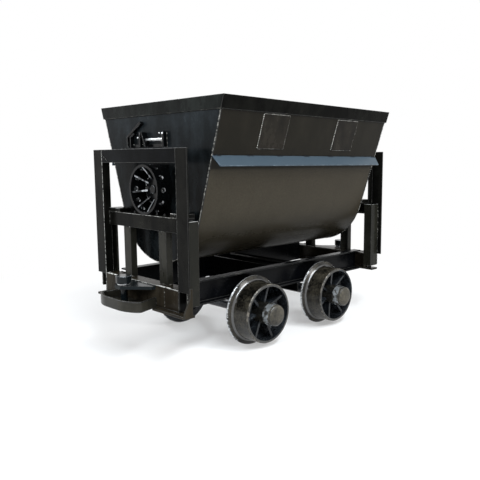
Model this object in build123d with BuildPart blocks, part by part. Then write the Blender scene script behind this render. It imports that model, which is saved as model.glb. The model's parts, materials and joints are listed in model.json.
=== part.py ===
from build123d import *
import math
import os

os.makedirs("parts", exist_ok=True)

# Ore cart with a side-tipping bucket, in millimetres.
# X runs along the track, Y across it and Z up from the floor under the wheel flanges.
# Front is +X and left is +Y; the cart looks the same after half a turn about Z.

# Wheels and axles
WHEEL_BASE = 550
TREAD_RADIUS = 150
FLANGE_DEPTH = 28
FLANGE_RADIUS = TREAD_RADIUS + FLANGE_DEPTH
FLANGE_THICKNESS = 18
TYRE_THICKNESS = 13
BARREL_RADIUS = TREAD_RADIUS - TYRE_THICKNESS
WHEEL_WIDTH = 124
WHEEL_GAP = 6
WEB_SETBACK = 20
WEB_THICKNESS = 16
DISH_ROOT = 14
BACK_ROOT = 20
FLANGE_ROOT = 16
FLANGE_SLOPE = 5
WHEEL_EDGE = 4
RIB_SINK = 4
HUB_RADIUS = 55
HUB_REACH = 10
CAP_RADIUS = 52
CAP_REACH = 58
CAP_THICKNESS = 18
AXLE_RADIUS = 30
BEARING_GAP = 0.3
AXLE_Z = FLANGE_RADIUS
WHEEL_RIBS = 7
WHEEL_RIB_START = 46
WHEEL_RIB_THICKNESS = 12
WHEEL_RIB_HUB_DEPTH = 50
WHEEL_RIB_RIM_DEPTH = 68

# Sills and axle boxes
SILL_HEIGHT = 120
SILL_FLANGE = 48
SILL_WALL = 8
SILL_OUTER_Y = 280
SILL_RISE = 80
SILL_Z = AXLE_Z + SILL_RISE
SILL_WEB_Y = SILL_OUTER_Y - SILL_FLANGE
WHEEL_BACK_Y = SILL_OUTER_Y + WHEEL_GAP
WHEEL_FACE_Y = WHEEL_BACK_Y + WHEEL_WIDTH
WEB_Y = WHEEL_BACK_Y + WEB_SETBACK
HUB_BACK_Y = WHEEL_BACK_Y - HUB_REACH
CAP_Y = WHEEL_FACE_Y + CAP_REACH
AXLE_BOX_LENGTH = 120
AXLE_BOX_WIDTH = HUB_BACK_Y - WHEEL_GAP - SILL_WEB_Y
AXLE_BOX_DROP = 46
AXLE_BOX_BOTTOM_Z = AXLE_Z - AXLE_BOX_DROP

# Cross members
CROSS_MEMBER_X = 90
CROSS_MEMBER_FLANGE = 55
CROSS_MEMBER_DROP = 2
CROSS_LIP_HEIGHT = 48
CROSS_MEMBER_TOP_Z = SILL_Z + SILL_HEIGHT - CROSS_MEMBER_DROP
CROSS_MEMBER_BOTTOM_Z = SILL_Z - CROSS_LIP_HEIGHT

# Length of the bucket and of the frame beyond it
BUCKET_END_X = 626
RAIL_GAP = 22
RAIL_DEPTH = 68
RAIL_BACK_X = BUCKET_END_X + RAIL_GAP
RAIL_FRONT_X = RAIL_BACK_X + RAIL_DEPTH
PORTAL_GAP = 34
PORTAL_X = RAIL_FRONT_X + PORTAL_GAP

# End beams and foot plates
BEAM_DEPTH = 70
BEAM_HEIGHT = 100
BEAM_STEP = 2
BEAM_BACK_X = PORTAL_X - BEAM_DEPTH
BEAM_HALF_WIDTH = 310
BEAM_BOTTOM_Z = SILL_Z + BEAM_STEP
BEAM_TOP_Z = BEAM_BOTTOM_Z + BEAM_HEIGHT
BEAM_WALL = 8
FOOT_THICKNESS = 12
FOOT_LAP = 24
FOOT_REACH = 35
FOOT_GAP = 5
FOOT_FAR_LAP = 30
FOOT_BACK_X = PORTAL_X - FOOT_LAP
FOOT_TIP_X = PORTAL_X + FOOT_REACH

# Roll rails, studs and struts
RAIL_RISE = 420
RAIL_TOP_Z = SILL_Z + RAIL_RISE
RAIL_HEIGHT = 68
RAIL_FOOT_LAP = 46
RAIL_FOOT_X = RAIL_FRONT_X - RAIL_FOOT_LAP
RAIL_WALL = 8
RAIL_STOP_LENGTH = 95
RAIL_STOP_HEIGHT = 20
STUD_BASE_RADIUS = 6
STUD_TOP_RADIUS = 4
STUD_HEIGHT = 10
STUD_STEPS = 2
STUD_X = (RAIL_BACK_X + RAIL_FRONT_X) / 2
STRUT_Y = 150
STRUT_WIDTH = 60
STRUT_DEPTH = 34
STRUT_WALL = 6
STRUT_BACK_X = RAIL_FRONT_X - STRUT_DEPTH

# Roll rings
RING_RADIUS = 120
RING_WALL = 12
RING_SETBACK = 2
RING_FRONT_X = RAIL_FRONT_X - RING_SETBACK
RING_HOLES = 12
RING_HOLE_RADIUS = 12
RING_RIBS = 8
RING_RIB_THICKNESS = 8
RING_RIB_START = 8
RING_RIB_LAP = 22
RING_RIB_STEP = 7
RING_DISC_RADIUS = 71
RING_DISC_DEPTH = 24
RING_DISC_X = BUCKET_END_X + RING_DISC_DEPTH
ROLL_GAP = 0.3
ROLL_Z = RAIL_TOP_Z + ROLL_GAP + RING_RADIUS
RING_TOP_Z = ROLL_Z + RING_RADIUS
STUD_PITCH = 2 * math.pi * RING_RADIUS / RING_HOLES
BUTTON_RADIUS = 20
BUTTON_REACH = 12
BUTTON_LENGTH = 32
BUTTON_FRONT_X = RING_DISC_X + BUTTON_REACH

# Portals and short posts
POST_WIDTH = 80
POST_RETURN = 44
POST_WALL = 8
POST_LEG_DROP = 5
POST_LEG_Z = BEAM_TOP_Z - POST_LEG_DROP
BAR_HEIGHT = 65
BAR_DEPTH = 60
BAR_GAP = 8
PORTAL_TOP_Z = RING_TOP_Z + BAR_GAP + BAR_HEIGHT
SHORT_POST_WIDTH = 55
SHORT_POST_STEP = 25
SHORT_POST_FOOT_Z = BEAM_BOTTOM_Z + SHORT_POST_STEP
SHORT_POST_TOP_Z = RAIL_TOP_Z - RAIL_WALL
GUSSET_WALL = 8
GUSSET_LAP = 14
GUSSET_TOE = 12
GUSSET_RISE = 25
GUSSET_NECK = 15
FOOT_NEAR_Y = BEAM_HALF_WIDTH + POST_WIDTH + GUSSET_WALL
FOOT_FAR_Y = BEAM_HALF_WIDTH + FOOT_FAR_LAP

# Bucket
BUCKET_RISE = 417.7
BUCKET_TOP_Z = ROLL_Z + BUCKET_RISE
BUCKET_TOP_Y = 494
BUCKET_ARC_RADIUS = 327
BUCKET_ARC_DROP = 36.3
BUCKET_ARC_Z = ROLL_Z - BUCKET_ARC_DROP
SHELL_WALL = 6
RIM_HEIGHT = 60
RIM_PROUD = 8
RIM_BOTTOM_Z = BUCKET_TOP_Z - RIM_HEIGHT
RIM_END_X = BUCKET_END_X + RIM_PROUD
DOUBLER_X = 276
DOUBLER_LENGTH = 176
DOUBLER_HEIGHT = 157
DOUBLER_GAP = 6
DOUBLER_THICKNESS = 4
DOUBLER_TOP_Z = RIM_BOTTOM_Z - DOUBLER_GAP
DOUBLER_BOTTOM_Z = DOUBLER_TOP_Z - DOUBLER_HEIGHT
STRIP_GAP = 37
STRIP_DROP = 46
STRIP_LEAN = 53
STRIP_CUT = 14
STRIP_WALL = 6
STRIP_TOP_Z = DOUBLER_BOTTOM_Z - STRIP_GAP
STRIP_BOTTOM_Z = STRIP_TOP_Z - STRIP_DROP
STRIP_END_X = BUCKET_END_X - STRIP_CUT

# Catch on the end wall, midway between the roll ring and the rim
CATCH_MID_Z = (RING_TOP_Z + RIM_BOTTOM_Z) / 2
CATCH_DROP = 35
CATCH_RISE = 38
CATCH_ELBOW_RISE = 19
CATCH_TIP_GAP = 28
CATCH_BOTTOM_Z = CATCH_MID_Z - CATCH_DROP
CATCH_TOP_Z = CATCH_MID_Z + CATCH_RISE
CATCH_ELBOW_Z = CATCH_MID_Z + CATCH_ELBOW_RISE
CATCH_TIP_Z = RIM_BOTTOM_Z - CATCH_TIP_GAP
CATCH_STRAP_WALL = 6
CATCH_STRAP_HEIGHT = 14
CATCH_LUG_DEPTH = 22
CATCH_LUG_WIDTH = 12
CATCH_BAR_DEPTH = 12
CATCH_BAR_RADIUS = 7
CATCH_BAR_X = BUCKET_END_X + CATCH_BAR_DEPTH
CATCH_LUG_Y = 76
CATCH_INNER_LUG_Y = 120
CATCH_PAWL_TOP_Y = 98
CATCH_PAWL_FOOT_Y = 64
CATCH_PAWL_WIDTH = 9
CATCH_PAWL_DEPTH = 30
CATCH_HOOK_DEPTH = 20
CATCH_HOOK_Y = 240
CATCH_HOOK_WIDTH = 11
CATCH_HOOK_STEP = 4
CATCH_TIP_Y = 120
CATCH_SPUR_Y = 210
CATCH_SPUR_TIP_Y = 176
CATCH_SPUR_WIDTH = 8
CATCH_SPUR_STEP = 3

# Bumper and coupling
BUMPER_LENGTH = 153
BUMPER_X = PORTAL_X + BUMPER_LENGTH
BUMPER_ROOT_HALF_WIDTH = 136
BUMPER_HALF_WIDTH = 172
BUMPER_FLAT_HALF_WIDTH = 50
BUMPER_SHOULDER = 46
BUMPER_SHOULDER_X = BUMPER_X - BUMPER_SHOULDER
BUMPER_CORNER = 20
BUMPER_HEIGHT = 50
BUMPER_DROP = 8
BUMPER_BOTTOM_Z = BEAM_BOTTOM_Z - BUMPER_DROP
BUMPER_TOP_Z = BUMPER_BOTTOM_Z + BUMPER_HEIGHT
BUMPER_WALL = 14
BUMPER_FLOOR = 12
BUMPER_SPREAD = (BUMPER_HALF_WIDTH - BUMPER_ROOT_HALF_WIDTH) / (BUMPER_SHOULDER_X - PORTAL_X)
FOOT_NOTCH_HALF_WIDTH = BUMPER_ROOT_HALF_WIDTH + BUMPER_SPREAD * FOOT_REACH + FOOT_GAP
COUPLING_GAP = 38
COUPLER_Z = BUMPER_TOP_Z + COUPLING_GAP
COUPLER_THICKNESS = 16
COUPLER_LENGTH = 120
COUPLER_TIP_X = PORTAL_X + COUPLER_LENGTH
COUPLER_TIP_HALF_WIDTH = 22
COUPLER_HALF_WIDTH = 135
COUPLER_SHOULDER = 22
PIN_SETBACK = 35
COUPLING_PIN_X = COUPLER_TIP_X - PIN_SETBACK
PIN_RADIUS = 16
PIN_BORE_RADIUS = 18
PIN_HEAD_RADIUS = 36
PIN_HEAD_HEIGHT = 36
PIN_COLLAR_RADIUS = 30
PIN_COLLAR_HEIGHT = 8

# Side slope of the bucket: the straight side meets the bottom arc on a tangent.
SIDE_RUN = math.hypot(BUCKET_TOP_Y, BUCKET_TOP_Z - BUCKET_ARC_Z)
SIDE_ANGLE = math.atan2(BUCKET_TOP_Z - BUCKET_ARC_Z, BUCKET_TOP_Y)
TANGENT_ANGLE = SIDE_ANGLE - math.acos(BUCKET_ARC_RADIUS / SIDE_RUN)
TANGENT_Y = BUCKET_ARC_RADIUS * math.cos(TANGENT_ANGLE)
TANGENT_Z = BUCKET_ARC_Z + BUCKET_ARC_RADIUS * math.sin(TANGENT_ANGLE)
SIDE_SLOPE = (BUCKET_TOP_Y - TANGENT_Y) / (BUCKET_TOP_Z - TANGENT_Z)
SIDE_COS = 1 / math.hypot(1, SIDE_SLOPE)


def side_y(z):
    """Half width of the bucket's outer face at a height on the straight side."""
    return BUCKET_TOP_Y - SIDE_SLOPE * (BUCKET_TOP_Z - z)


def bucket_section(inset, top_z):
    """Face of the bucket's section, drawn inward of the outer face by the inset."""
    radius = BUCKET_ARC_RADIUS - inset
    tangent_y = radius * math.cos(TANGENT_ANGLE)
    tangent_z = BUCKET_ARC_Z + radius * math.sin(TANGENT_ANGLE)
    top_y = side_y(top_z) - inset / SIDE_COS
    with BuildSketch() as section:
        with BuildLine():
            Line((top_y, top_z), (tangent_y, tangent_z))
            ThreePointArc(
                (tangent_y, tangent_z),
                (0, BUCKET_ARC_Z - radius),
                (-tangent_y, tangent_z),
            )
            Line((-tangent_y, tangent_z), (-top_y, top_z))
            Line((-top_y, top_z), (top_y, top_z))
        make_face()
    return section.sketch


def save_ends(piece, name):
    """Write a front piece and its rear twin, turned half a turn about Z."""
    for end_name, turn in (("front", 0), ("rear", 180)):
        with BuildPart() as placed:
            add(piece.part, rotation=(0, 0, turn))
        placed.part.label = f"{name}_{end_name}"
        export_step(placed.part, f"parts/{name}_{end_name}.step")


def save_corners(piece, name):
    """Write a front left piece and its three twins at the other corners."""
    with BuildPart() as right:
        add(piece.part)
        mirror(about=Plane.XZ, mode=Mode.REPLACE)
    corners = (
        ("front_left", piece, 0),
        ("front_right", right, 0),
        ("rear_left", right, 180),
        ("rear_right", piece, 180),
    )
    for corner_name, source, turn in corners:
        with BuildPart() as placed:
            add(source.part, rotation=(0, 0, turn))
        placed.part.label = f"{name}_{corner_name}"
        export_step(placed.part, f"parts/{name}_{corner_name}.step")


def save_sides(piece, name):
    """Write a left piece and its right twin, turned half a turn about Z."""
    for side_name, turn in (("left", 0), ("right", 180)):
        with BuildPart() as placed:
            add(piece.part, rotation=(0, 0, turn))
        placed.part.label = f"{name}_{side_name}"
        export_step(placed.part, f"parts/{name}_{side_name}.step")


# Sill: a channel with its flanges outwards
with BuildPart() as sill:
    with BuildSketch(Plane.YZ.offset(-BEAM_BACK_X)):
        with Locations((SILL_OUTER_Y - SILL_FLANGE / 2, SILL_Z + SILL_HEIGHT / 2)):
            Rectangle(SILL_FLANGE, SILL_HEIGHT)
        with Locations((SILL_OUTER_Y - SILL_FLANGE / 2 + SILL_WALL / 2, SILL_Z + SILL_HEIGHT / 2)):
            Rectangle(SILL_FLANGE - SILL_WALL, SILL_HEIGHT - 2 * SILL_WALL, mode=Mode.SUBTRACT)
    extrude(amount=2 * BEAM_BACK_X)
save_sides(sill, "sill")

# Cross member: a channel between the sill webs, with a deeper lip under the sills
with BuildPart() as cross_member:
    with BuildSketch(Plane.XZ.offset(-SILL_WEB_Y)):
        with Locations((
            CROSS_MEMBER_X - CROSS_MEMBER_FLANGE / 2,
            (CROSS_MEMBER_TOP_Z + SILL_Z) / 2,
        )):
            Rectangle(CROSS_MEMBER_FLANGE, CROSS_MEMBER_TOP_Z - SILL_Z)
        with Locations((
            CROSS_MEMBER_X - CROSS_MEMBER_FLANGE / 2 - SILL_WALL,
            (CROSS_MEMBER_TOP_Z + SILL_Z) / 2,
        )):
            Rectangle(
                CROSS_MEMBER_FLANGE,
                CROSS_MEMBER_TOP_Z - SILL_Z - 2 * SILL_WALL,
                mode=Mode.SUBTRACT,
            )
    extrude(amount=2 * SILL_WEB_Y)
    with BuildSketch(Plane.YZ.offset(CROSS_MEMBER_X - SILL_WALL)):
        with Locations((0, (SILL_Z + CROSS_MEMBER_BOTTOM_Z) / 2)):
            Rectangle(2 * SILL_OUTER_Y, SILL_Z - CROSS_MEMBER_BOTTOM_Z)
    extrude(amount=SILL_WALL)
save_ends(cross_member, "cross_member")

# End beam: a boxed channel on a foot plate that is notched for the bumper, with a gusset at one end
with BuildPart() as end_beam:
    with BuildSketch(Plane.XY.offset(BEAM_BOTTOM_Z)):
        with Locations(((PORTAL_X + BEAM_BACK_X) / 2, 0)):
            Rectangle(BEAM_DEPTH, 2 * BEAM_HALF_WIDTH)
    extrude(amount=BEAM_HEIGHT)
    with BuildSketch(Plane.XY.offset(BEAM_BOTTOM_Z + BEAM_WALL)):
        with Locations(((PORTAL_X + BEAM_BACK_X) / 2 - BEAM_WALL, 0)):
            Rectangle(BEAM_DEPTH, 2 * (BEAM_HALF_WIDTH - BEAM_WALL))
    extrude(amount=BEAM_HEIGHT - 2 * BEAM_WALL, mode=Mode.SUBTRACT)
    with BuildSketch(Plane.XY.offset(BEAM_BOTTOM_Z - FOOT_THICKNESS)):
        with Locations(((FOOT_BACK_X + FOOT_TIP_X) / 2, (FOOT_NEAR_Y - FOOT_FAR_Y) / 2)):
            Rectangle(FOOT_TIP_X - FOOT_BACK_X, FOOT_NEAR_Y + FOOT_FAR_Y)
        with Locations(((PORTAL_X + FOOT_TIP_X) / 2, 0)):
            Rectangle(FOOT_REACH, 2 * FOOT_NOTCH_HALF_WIDTH, mode=Mode.SUBTRACT)
    extrude(amount=FOOT_THICKNESS)
    with BuildSketch(Plane.XZ.offset(-FOOT_NEAR_Y)):
        with BuildLine():
            Polyline(
                (PORTAL_X - GUSSET_LAP, BEAM_BOTTOM_Z),
                (FOOT_TIP_X, BEAM_BOTTOM_Z),
                (FOOT_TIP_X, BEAM_BOTTOM_Z + GUSSET_TOE),
                (PORTAL_X, POST_LEG_Z - GUSSET_NECK),
                (PORTAL_X, POST_LEG_Z + GUSSET_RISE),
                (PORTAL_X - GUSSET_LAP, POST_LEG_Z + GUSSET_RISE),
                close=True,
            )
        make_face()
    extrude(amount=GUSSET_WALL)
save_ends(end_beam, "end_beam")

# Portal post: an angle whose heel faces the middle of the cart
HEEL_Y = BEAM_HALF_WIDTH
with BuildPart() as portal_post:
    with BuildSketch(Plane.XY.offset(BEAM_BOTTOM_Z)):
        with Locations((PORTAL_X - POST_RETURN / 2, HEEL_Y + POST_WALL / 2)):
            Rectangle(POST_RETURN, POST_WALL)
    extrude(amount=PORTAL_TOP_Z - BEAM_BOTTOM_Z)
    with BuildSketch(Plane.XY.offset(POST_LEG_Z)):
        with Locations((PORTAL_X - POST_WALL / 2, HEEL_Y + POST_WIDTH / 2)):
            Rectangle(POST_WALL, POST_WIDTH)
    extrude(amount=PORTAL_TOP_Z - POST_LEG_Z)
save_corners(portal_post, "portal_post")

# Portal bar: an angle between the posts
with BuildPart() as portal_bar:
    with BuildSketch(Plane.XY.offset(PORTAL_TOP_Z - BAR_HEIGHT)):
        with Locations((PORTAL_X - POST_WALL / 2, 0)):
            Rectangle(POST_WALL, 2 * HEEL_Y)
    extrude(amount=BAR_HEIGHT)
    with BuildSketch(Plane.XY.offset(PORTAL_TOP_Z - POST_WALL)):
        with Locations((PORTAL_X - BAR_DEPTH / 2, 0)):
            Rectangle(BAR_DEPTH, 2 * HEEL_Y)
    extrude(amount=POST_WALL)
save_ends(portal_bar, "portal_bar")

# Short post: an angle that closes the corner behind the portal post
SHORT_POST_FRONT_X = PORTAL_X - POST_WALL
SHORT_POST_BACK_X = BEAM_BACK_X - POST_WALL
with BuildPart() as short_post:
    with BuildSketch(Plane.XY.offset(SHORT_POST_FOOT_Z)):
        with Locations((
            (SHORT_POST_FRONT_X + SHORT_POST_BACK_X) / 2,
            HEEL_Y + SHORT_POST_WIDTH - POST_WALL / 2,
        )):
            Rectangle(SHORT_POST_FRONT_X - SHORT_POST_BACK_X, POST_WALL)
        with Locations((SHORT_POST_BACK_X + POST_WALL / 2, HEEL_Y + SHORT_POST_WIDTH / 2)):
            Rectangle(POST_WALL, SHORT_POST_WIDTH)
    extrude(amount=SHORT_POST_TOP_Z - SHORT_POST_FOOT_Z)
save_corners(short_post, "short_post")

# Roll rail: a channel with its web in front
with BuildPart() as roll_rail:
    with BuildSketch(Plane.XZ.offset(-HEEL_Y)):
        with Locations((RAIL_FRONT_X - RAIL_WALL / 2, RAIL_TOP_Z - RAIL_HEIGHT / 2)):
            Rectangle(RAIL_WALL, RAIL_HEIGHT)
        with Locations((STUD_X, RAIL_TOP_Z - RAIL_WALL / 2)):
            Rectangle(RAIL_DEPTH, RAIL_WALL)
        with Locations(((RAIL_FRONT_X + RAIL_FOOT_X) / 2, RAIL_TOP_Z - RAIL_HEIGHT + RAIL_WALL / 2)):
            Rectangle(RAIL_FRONT_X - RAIL_FOOT_X, RAIL_WALL)
    extrude(amount=2 * HEEL_Y)
save_ends(roll_rail, "roll_rail")

# Rail stops: blocks on both ends of the roll rail that the ring can't pass
with BuildPart() as rail_stops:
    with Locations(*[
        (STUD_X, side * (HEEL_Y - RAIL_STOP_LENGTH / 2), RAIL_TOP_Z + RAIL_STOP_HEIGHT / 2)
        for side in (1, -1)
    ]):
        Box(RAIL_DEPTH, RAIL_STOP_LENGTH, RAIL_STOP_HEIGHT)
save_ends(rail_stops, "rail_stops")

# Rail studs: tapered pegs that the ring's holes pass over, one pitch apart
with BuildPart() as rail_studs:
    with Locations(*[
        (STUD_X, step * STUD_PITCH, RAIL_TOP_Z + STUD_HEIGHT / 2)
        for step in range(-STUD_STEPS, STUD_STEPS + 1)
    ]):
        Cone(STUD_BASE_RADIUS, STUD_TOP_RADIUS, STUD_HEIGHT)
save_ends(rail_studs, "rail_studs")

# Rail strut: a channel piece from the end beam up to the roll rail
with BuildPart() as rail_strut:
    with BuildSketch(Plane.XY.offset(BEAM_TOP_Z)):
        with Locations(((RAIL_FRONT_X + STRUT_BACK_X) / 2, STRUT_Y)):
            Rectangle(RAIL_FRONT_X - STRUT_BACK_X, STRUT_WIDTH)
        with Locations(((RAIL_FRONT_X + STRUT_BACK_X) / 2 - STRUT_WALL, STRUT_Y)):
            Rectangle(RAIL_FRONT_X - STRUT_BACK_X, STRUT_WIDTH - 2 * STRUT_WALL, mode=Mode.SUBTRACT)
    extrude(amount=RAIL_TOP_Z - RAIL_HEIGHT - BEAM_TOP_Z)
save_corners(rail_strut, "rail_strut")

# Bumper: a blunt nose that spreads to broad shoulders, with a hollow in its top
with BuildPart() as bumper:
    for wall, base_z, mode in (
        (0, BUMPER_BOTTOM_Z, Mode.ADD),
        (BUMPER_WALL, BUMPER_BOTTOM_Z + BUMPER_FLOOR, Mode.SUBTRACT),
    ):
        root_y = BUMPER_ROOT_HALF_WIDTH - wall
        shoulder_x = BUMPER_SHOULDER_X - wall
        shoulder_y = BUMPER_HALF_WIDTH - wall
        nose_x = BUMPER_X - wall
        with BuildSketch(Plane.XY.offset(base_z)) as bumper_plan:
            with BuildLine():
                TangentArc((nose_x, BUMPER_FLAT_HALF_WIDTH), (shoulder_x, shoulder_y), tangent=(0, 1))
                Polyline(
                    (shoulder_x, shoulder_y),
                    (PORTAL_X, root_y),
                    (PORTAL_X, -root_y),
                    (shoulder_x, -shoulder_y),
                )
                TangentArc((nose_x, -BUMPER_FLAT_HALF_WIDTH), (shoulder_x, -shoulder_y), tangent=(0, -1))
                Line((nose_x, -BUMPER_FLAT_HALF_WIDTH), (nose_x, BUMPER_FLAT_HALF_WIDTH))
            make_face()
            fillet(bumper_plan.vertices().group_by(Axis.Y)[0], radius=BUMPER_CORNER - wall)
            fillet(bumper_plan.vertices().group_by(Axis.Y)[-1], radius=BUMPER_CORNER - wall)
        extrude(amount=BUMPER_TOP_Z - BUMPER_BOTTOM_Z, mode=mode)
save_ends(bumper, "bumper")

# Coupler plate: a pointed plate over the bumper, bored for the coupling pin
with BuildPart() as coupler_plate:
    with BuildSketch(Plane.XY.offset(COUPLER_Z)):
        with BuildLine():
            Polyline(
                (PORTAL_X, -COUPLER_HALF_WIDTH),
                (PORTAL_X + COUPLER_SHOULDER, -COUPLER_HALF_WIDTH),
                (COUPLER_TIP_X, -COUPLER_TIP_HALF_WIDTH),
                (COUPLER_TIP_X, COUPLER_TIP_HALF_WIDTH),
                (PORTAL_X + COUPLER_SHOULDER, COUPLER_HALF_WIDTH),
                (PORTAL_X, COUPLER_HALF_WIDTH),
                close=True,
            )
        make_face()
        with Locations((COUPLING_PIN_X, 0)):
            Circle(PIN_BORE_RADIUS, mode=Mode.SUBTRACT)
    extrude(amount=COUPLER_THICKNESS)
save_ends(coupler_plate, "coupler_plate")

# Coupling pin: a round head on a collar, with the shank down to the bumper floor
COUPLER_TOP_Z = COUPLER_Z + COUPLER_THICKNESS
PIN_FOOT_Z = BUMPER_BOTTOM_Z + BUMPER_FLOOR
with BuildPart() as coupling_pin:
    with Locations((COUPLING_PIN_X, 0, (PIN_FOOT_Z + COUPLER_TOP_Z) / 2)):
        Cylinder(PIN_RADIUS, COUPLER_TOP_Z - PIN_FOOT_Z)
    with Locations((COUPLING_PIN_X, 0, COUPLER_TOP_Z + PIN_COLLAR_HEIGHT / 2)):
        Cylinder(PIN_COLLAR_RADIUS, PIN_COLLAR_HEIGHT)
    with Locations((COUPLING_PIN_X, 0, COUPLER_TOP_Z + PIN_COLLAR_HEIGHT + PIN_HEAD_HEIGHT / 2)):
        Cylinder(PIN_HEAD_RADIUS, PIN_HEAD_HEIGHT)
save_ends(coupling_pin, "coupling_pin")

# Axle box: a block under the sill with the axle's bore
with BuildPart() as axle_box:
    with BuildSketch(Plane.XZ.offset(-SILL_WEB_Y)):
        with Locations((WHEEL_BASE / 2, (AXLE_BOX_BOTTOM_Z + SILL_Z) / 2)):
            Rectangle(AXLE_BOX_LENGTH, SILL_Z - AXLE_BOX_BOTTOM_Z)
        with Locations((WHEEL_BASE / 2, AXLE_Z)):
            Circle(AXLE_RADIUS + BEARING_GAP, mode=Mode.SUBTRACT)
    extrude(amount=-AXLE_BOX_WIDTH)
save_corners(axle_box, "axle_box")

# Axle
with BuildPart() as axle:
    with BuildSketch(Plane.XZ.offset(-(CAP_Y - CAP_THICKNESS))):
        with Locations((WHEEL_BASE / 2, AXLE_Z)):
            Circle(AXLE_RADIUS)
    extrude(amount=2 * (CAP_Y - CAP_THICKNESS))
save_ends(axle, "axle")

# Wheel: flange, coned barrel, deep dish with ribs, hub and cap
AXLE_CENTRE = (WHEEL_BASE / 2, 0, AXLE_Z)
WEB_FRONT_Y = WEB_Y + WEB_THICKNESS
FLANGE_FACE_Y = WHEEL_BACK_Y + FLANGE_THICKNESS
with BuildPart() as wheel:
    with BuildSketch(Plane(origin=AXLE_CENTRE, x_dir=(0, 1, 0), z_dir=(1, 0, 0))):
        with BuildLine():
            Polyline(
                (HUB_BACK_Y, AXLE_RADIUS),
                (CAP_Y - CAP_THICKNESS, AXLE_RADIUS),
                (CAP_Y - CAP_THICKNESS, 0),
                (CAP_Y, 0),
                (CAP_Y, CAP_RADIUS - WHEEL_EDGE),
                (CAP_Y - WHEEL_EDGE, CAP_RADIUS),
                (WHEEL_FACE_Y, CAP_RADIUS),
                (WEB_FRONT_Y + DISH_ROOT, HUB_RADIUS),
                (WEB_FRONT_Y, HUB_RADIUS + DISH_ROOT),
                (WEB_FRONT_Y, BARREL_RADIUS - DISH_ROOT),
                (WEB_FRONT_Y + DISH_ROOT, BARREL_RADIUS),
                (WHEEL_FACE_Y, BARREL_RADIUS),
                (WHEEL_FACE_Y, TREAD_RADIUS - WHEEL_EDGE),
                (WHEEL_FACE_Y - WHEEL_EDGE, TREAD_RADIUS),
                (FLANGE_FACE_Y + FLANGE_ROOT, TREAD_RADIUS),
                (FLANGE_FACE_Y + FLANGE_SLOPE, TREAD_RADIUS + FLANGE_SLOPE),
                (FLANGE_FACE_Y - FLANGE_SLOPE, FLANGE_RADIUS - FLANGE_SLOPE),
                (FLANGE_FACE_Y - 2 * FLANGE_SLOPE, FLANGE_RADIUS),
                (WHEEL_BACK_Y + WHEEL_EDGE, FLANGE_RADIUS),
                (WHEEL_BACK_Y, FLANGE_RADIUS - WHEEL_EDGE),
                (WHEEL_BACK_Y, BARREL_RADIUS),
                (WEB_Y, BARREL_RADIUS - BACK_ROOT),
                (WEB_Y, HUB_RADIUS + BACK_ROOT),
                (HUB_BACK_Y, HUB_RADIUS),
                close=True,
            )
        make_face()
    revolve(axis=Axis(AXLE_CENTRE, (0, 1, 0)))
    for rib in range(WHEEL_RIBS):
        angle = math.radians(360 / WHEEL_RIBS * rib + WHEEL_RIB_START)
        rib_plane = Plane(
            origin=AXLE_CENTRE,
            x_dir=(0, 1, 0),
            z_dir=(math.sin(angle), 0, -math.cos(angle)),
        )
        with BuildSketch(rib_plane):
            with BuildLine():
                Polyline(
                    (WEB_FRONT_Y - RIB_SINK, HUB_RADIUS - RIB_SINK),
                    (WEB_FRONT_Y + WHEEL_RIB_HUB_DEPTH, HUB_RADIUS - RIB_SINK),
                    (WEB_FRONT_Y + WHEEL_RIB_RIM_DEPTH, BARREL_RADIUS + RIB_SINK),
                    (WEB_FRONT_Y - RIB_SINK, BARREL_RADIUS + RIB_SINK),
                    close=True,
                )
            make_face()
        extrude(amount=WHEEL_RIB_THICKNESS / 2, both=True)
save_corners(wheel, "wheel")

# Bucket shell: the folded sides and bottom
with BuildPart() as bucket_shell:
    with BuildSketch(Plane.YZ.offset(SHELL_WALL - BUCKET_END_X)):
        add(bucket_section(0, BUCKET_TOP_Z))
        add(bucket_section(SHELL_WALL, BUCKET_TOP_Z + SHELL_WALL), mode=Mode.SUBTRACT)
    extrude(amount=2 * (BUCKET_END_X - SHELL_WALL))
bucket_shell.part.label = "bucket_shell"
export_step(bucket_shell.part, "parts/bucket_shell.step")

# End wall: one plate closing the section
with BuildPart() as end_wall:
    with BuildSketch(Plane.YZ.offset(BUCKET_END_X - SHELL_WALL)):
        add(bucket_section(0, BUCKET_TOP_Z))
    extrude(amount=SHELL_WALL)
save_ends(end_wall, "end_wall")

# Rim: a flat bar round the top edge, following the slope of the sides
with BuildPart() as rim:
    with BuildSketch(Plane.YZ.offset(-RIM_END_X)):
        with BuildLine():
            Polyline(
                (side_y(RIM_BOTTOM_Z), RIM_BOTTOM_Z),
                (side_y(RIM_BOTTOM_Z) + RIM_PROUD / SIDE_COS, RIM_BOTTOM_Z),
                (side_y(BUCKET_TOP_Z) + RIM_PROUD / SIDE_COS, BUCKET_TOP_Z),
                (side_y(BUCKET_TOP_Z), BUCKET_TOP_Z),
                close=True,
            )
        make_face()
        mirror(about=Plane.YZ)
    extrude(amount=2 * RIM_END_X)
    for start_x in (BUCKET_END_X, -RIM_END_X):
        with BuildSketch(Plane.YZ.offset(start_x)):
            with BuildLine():
                Polyline(
                    (side_y(RIM_BOTTOM_Z), RIM_BOTTOM_Z),
                    (side_y(BUCKET_TOP_Z), BUCKET_TOP_Z),
                    (-side_y(BUCKET_TOP_Z), BUCKET_TOP_Z),
                    (-side_y(RIM_BOTTOM_Z), RIM_BOTTOM_Z),
                    close=True,
                )
            make_face()
        extrude(amount=RIM_PROUD)
rim.part.label = "rim"
export_step(rim.part, "parts/rim.step")

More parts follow.
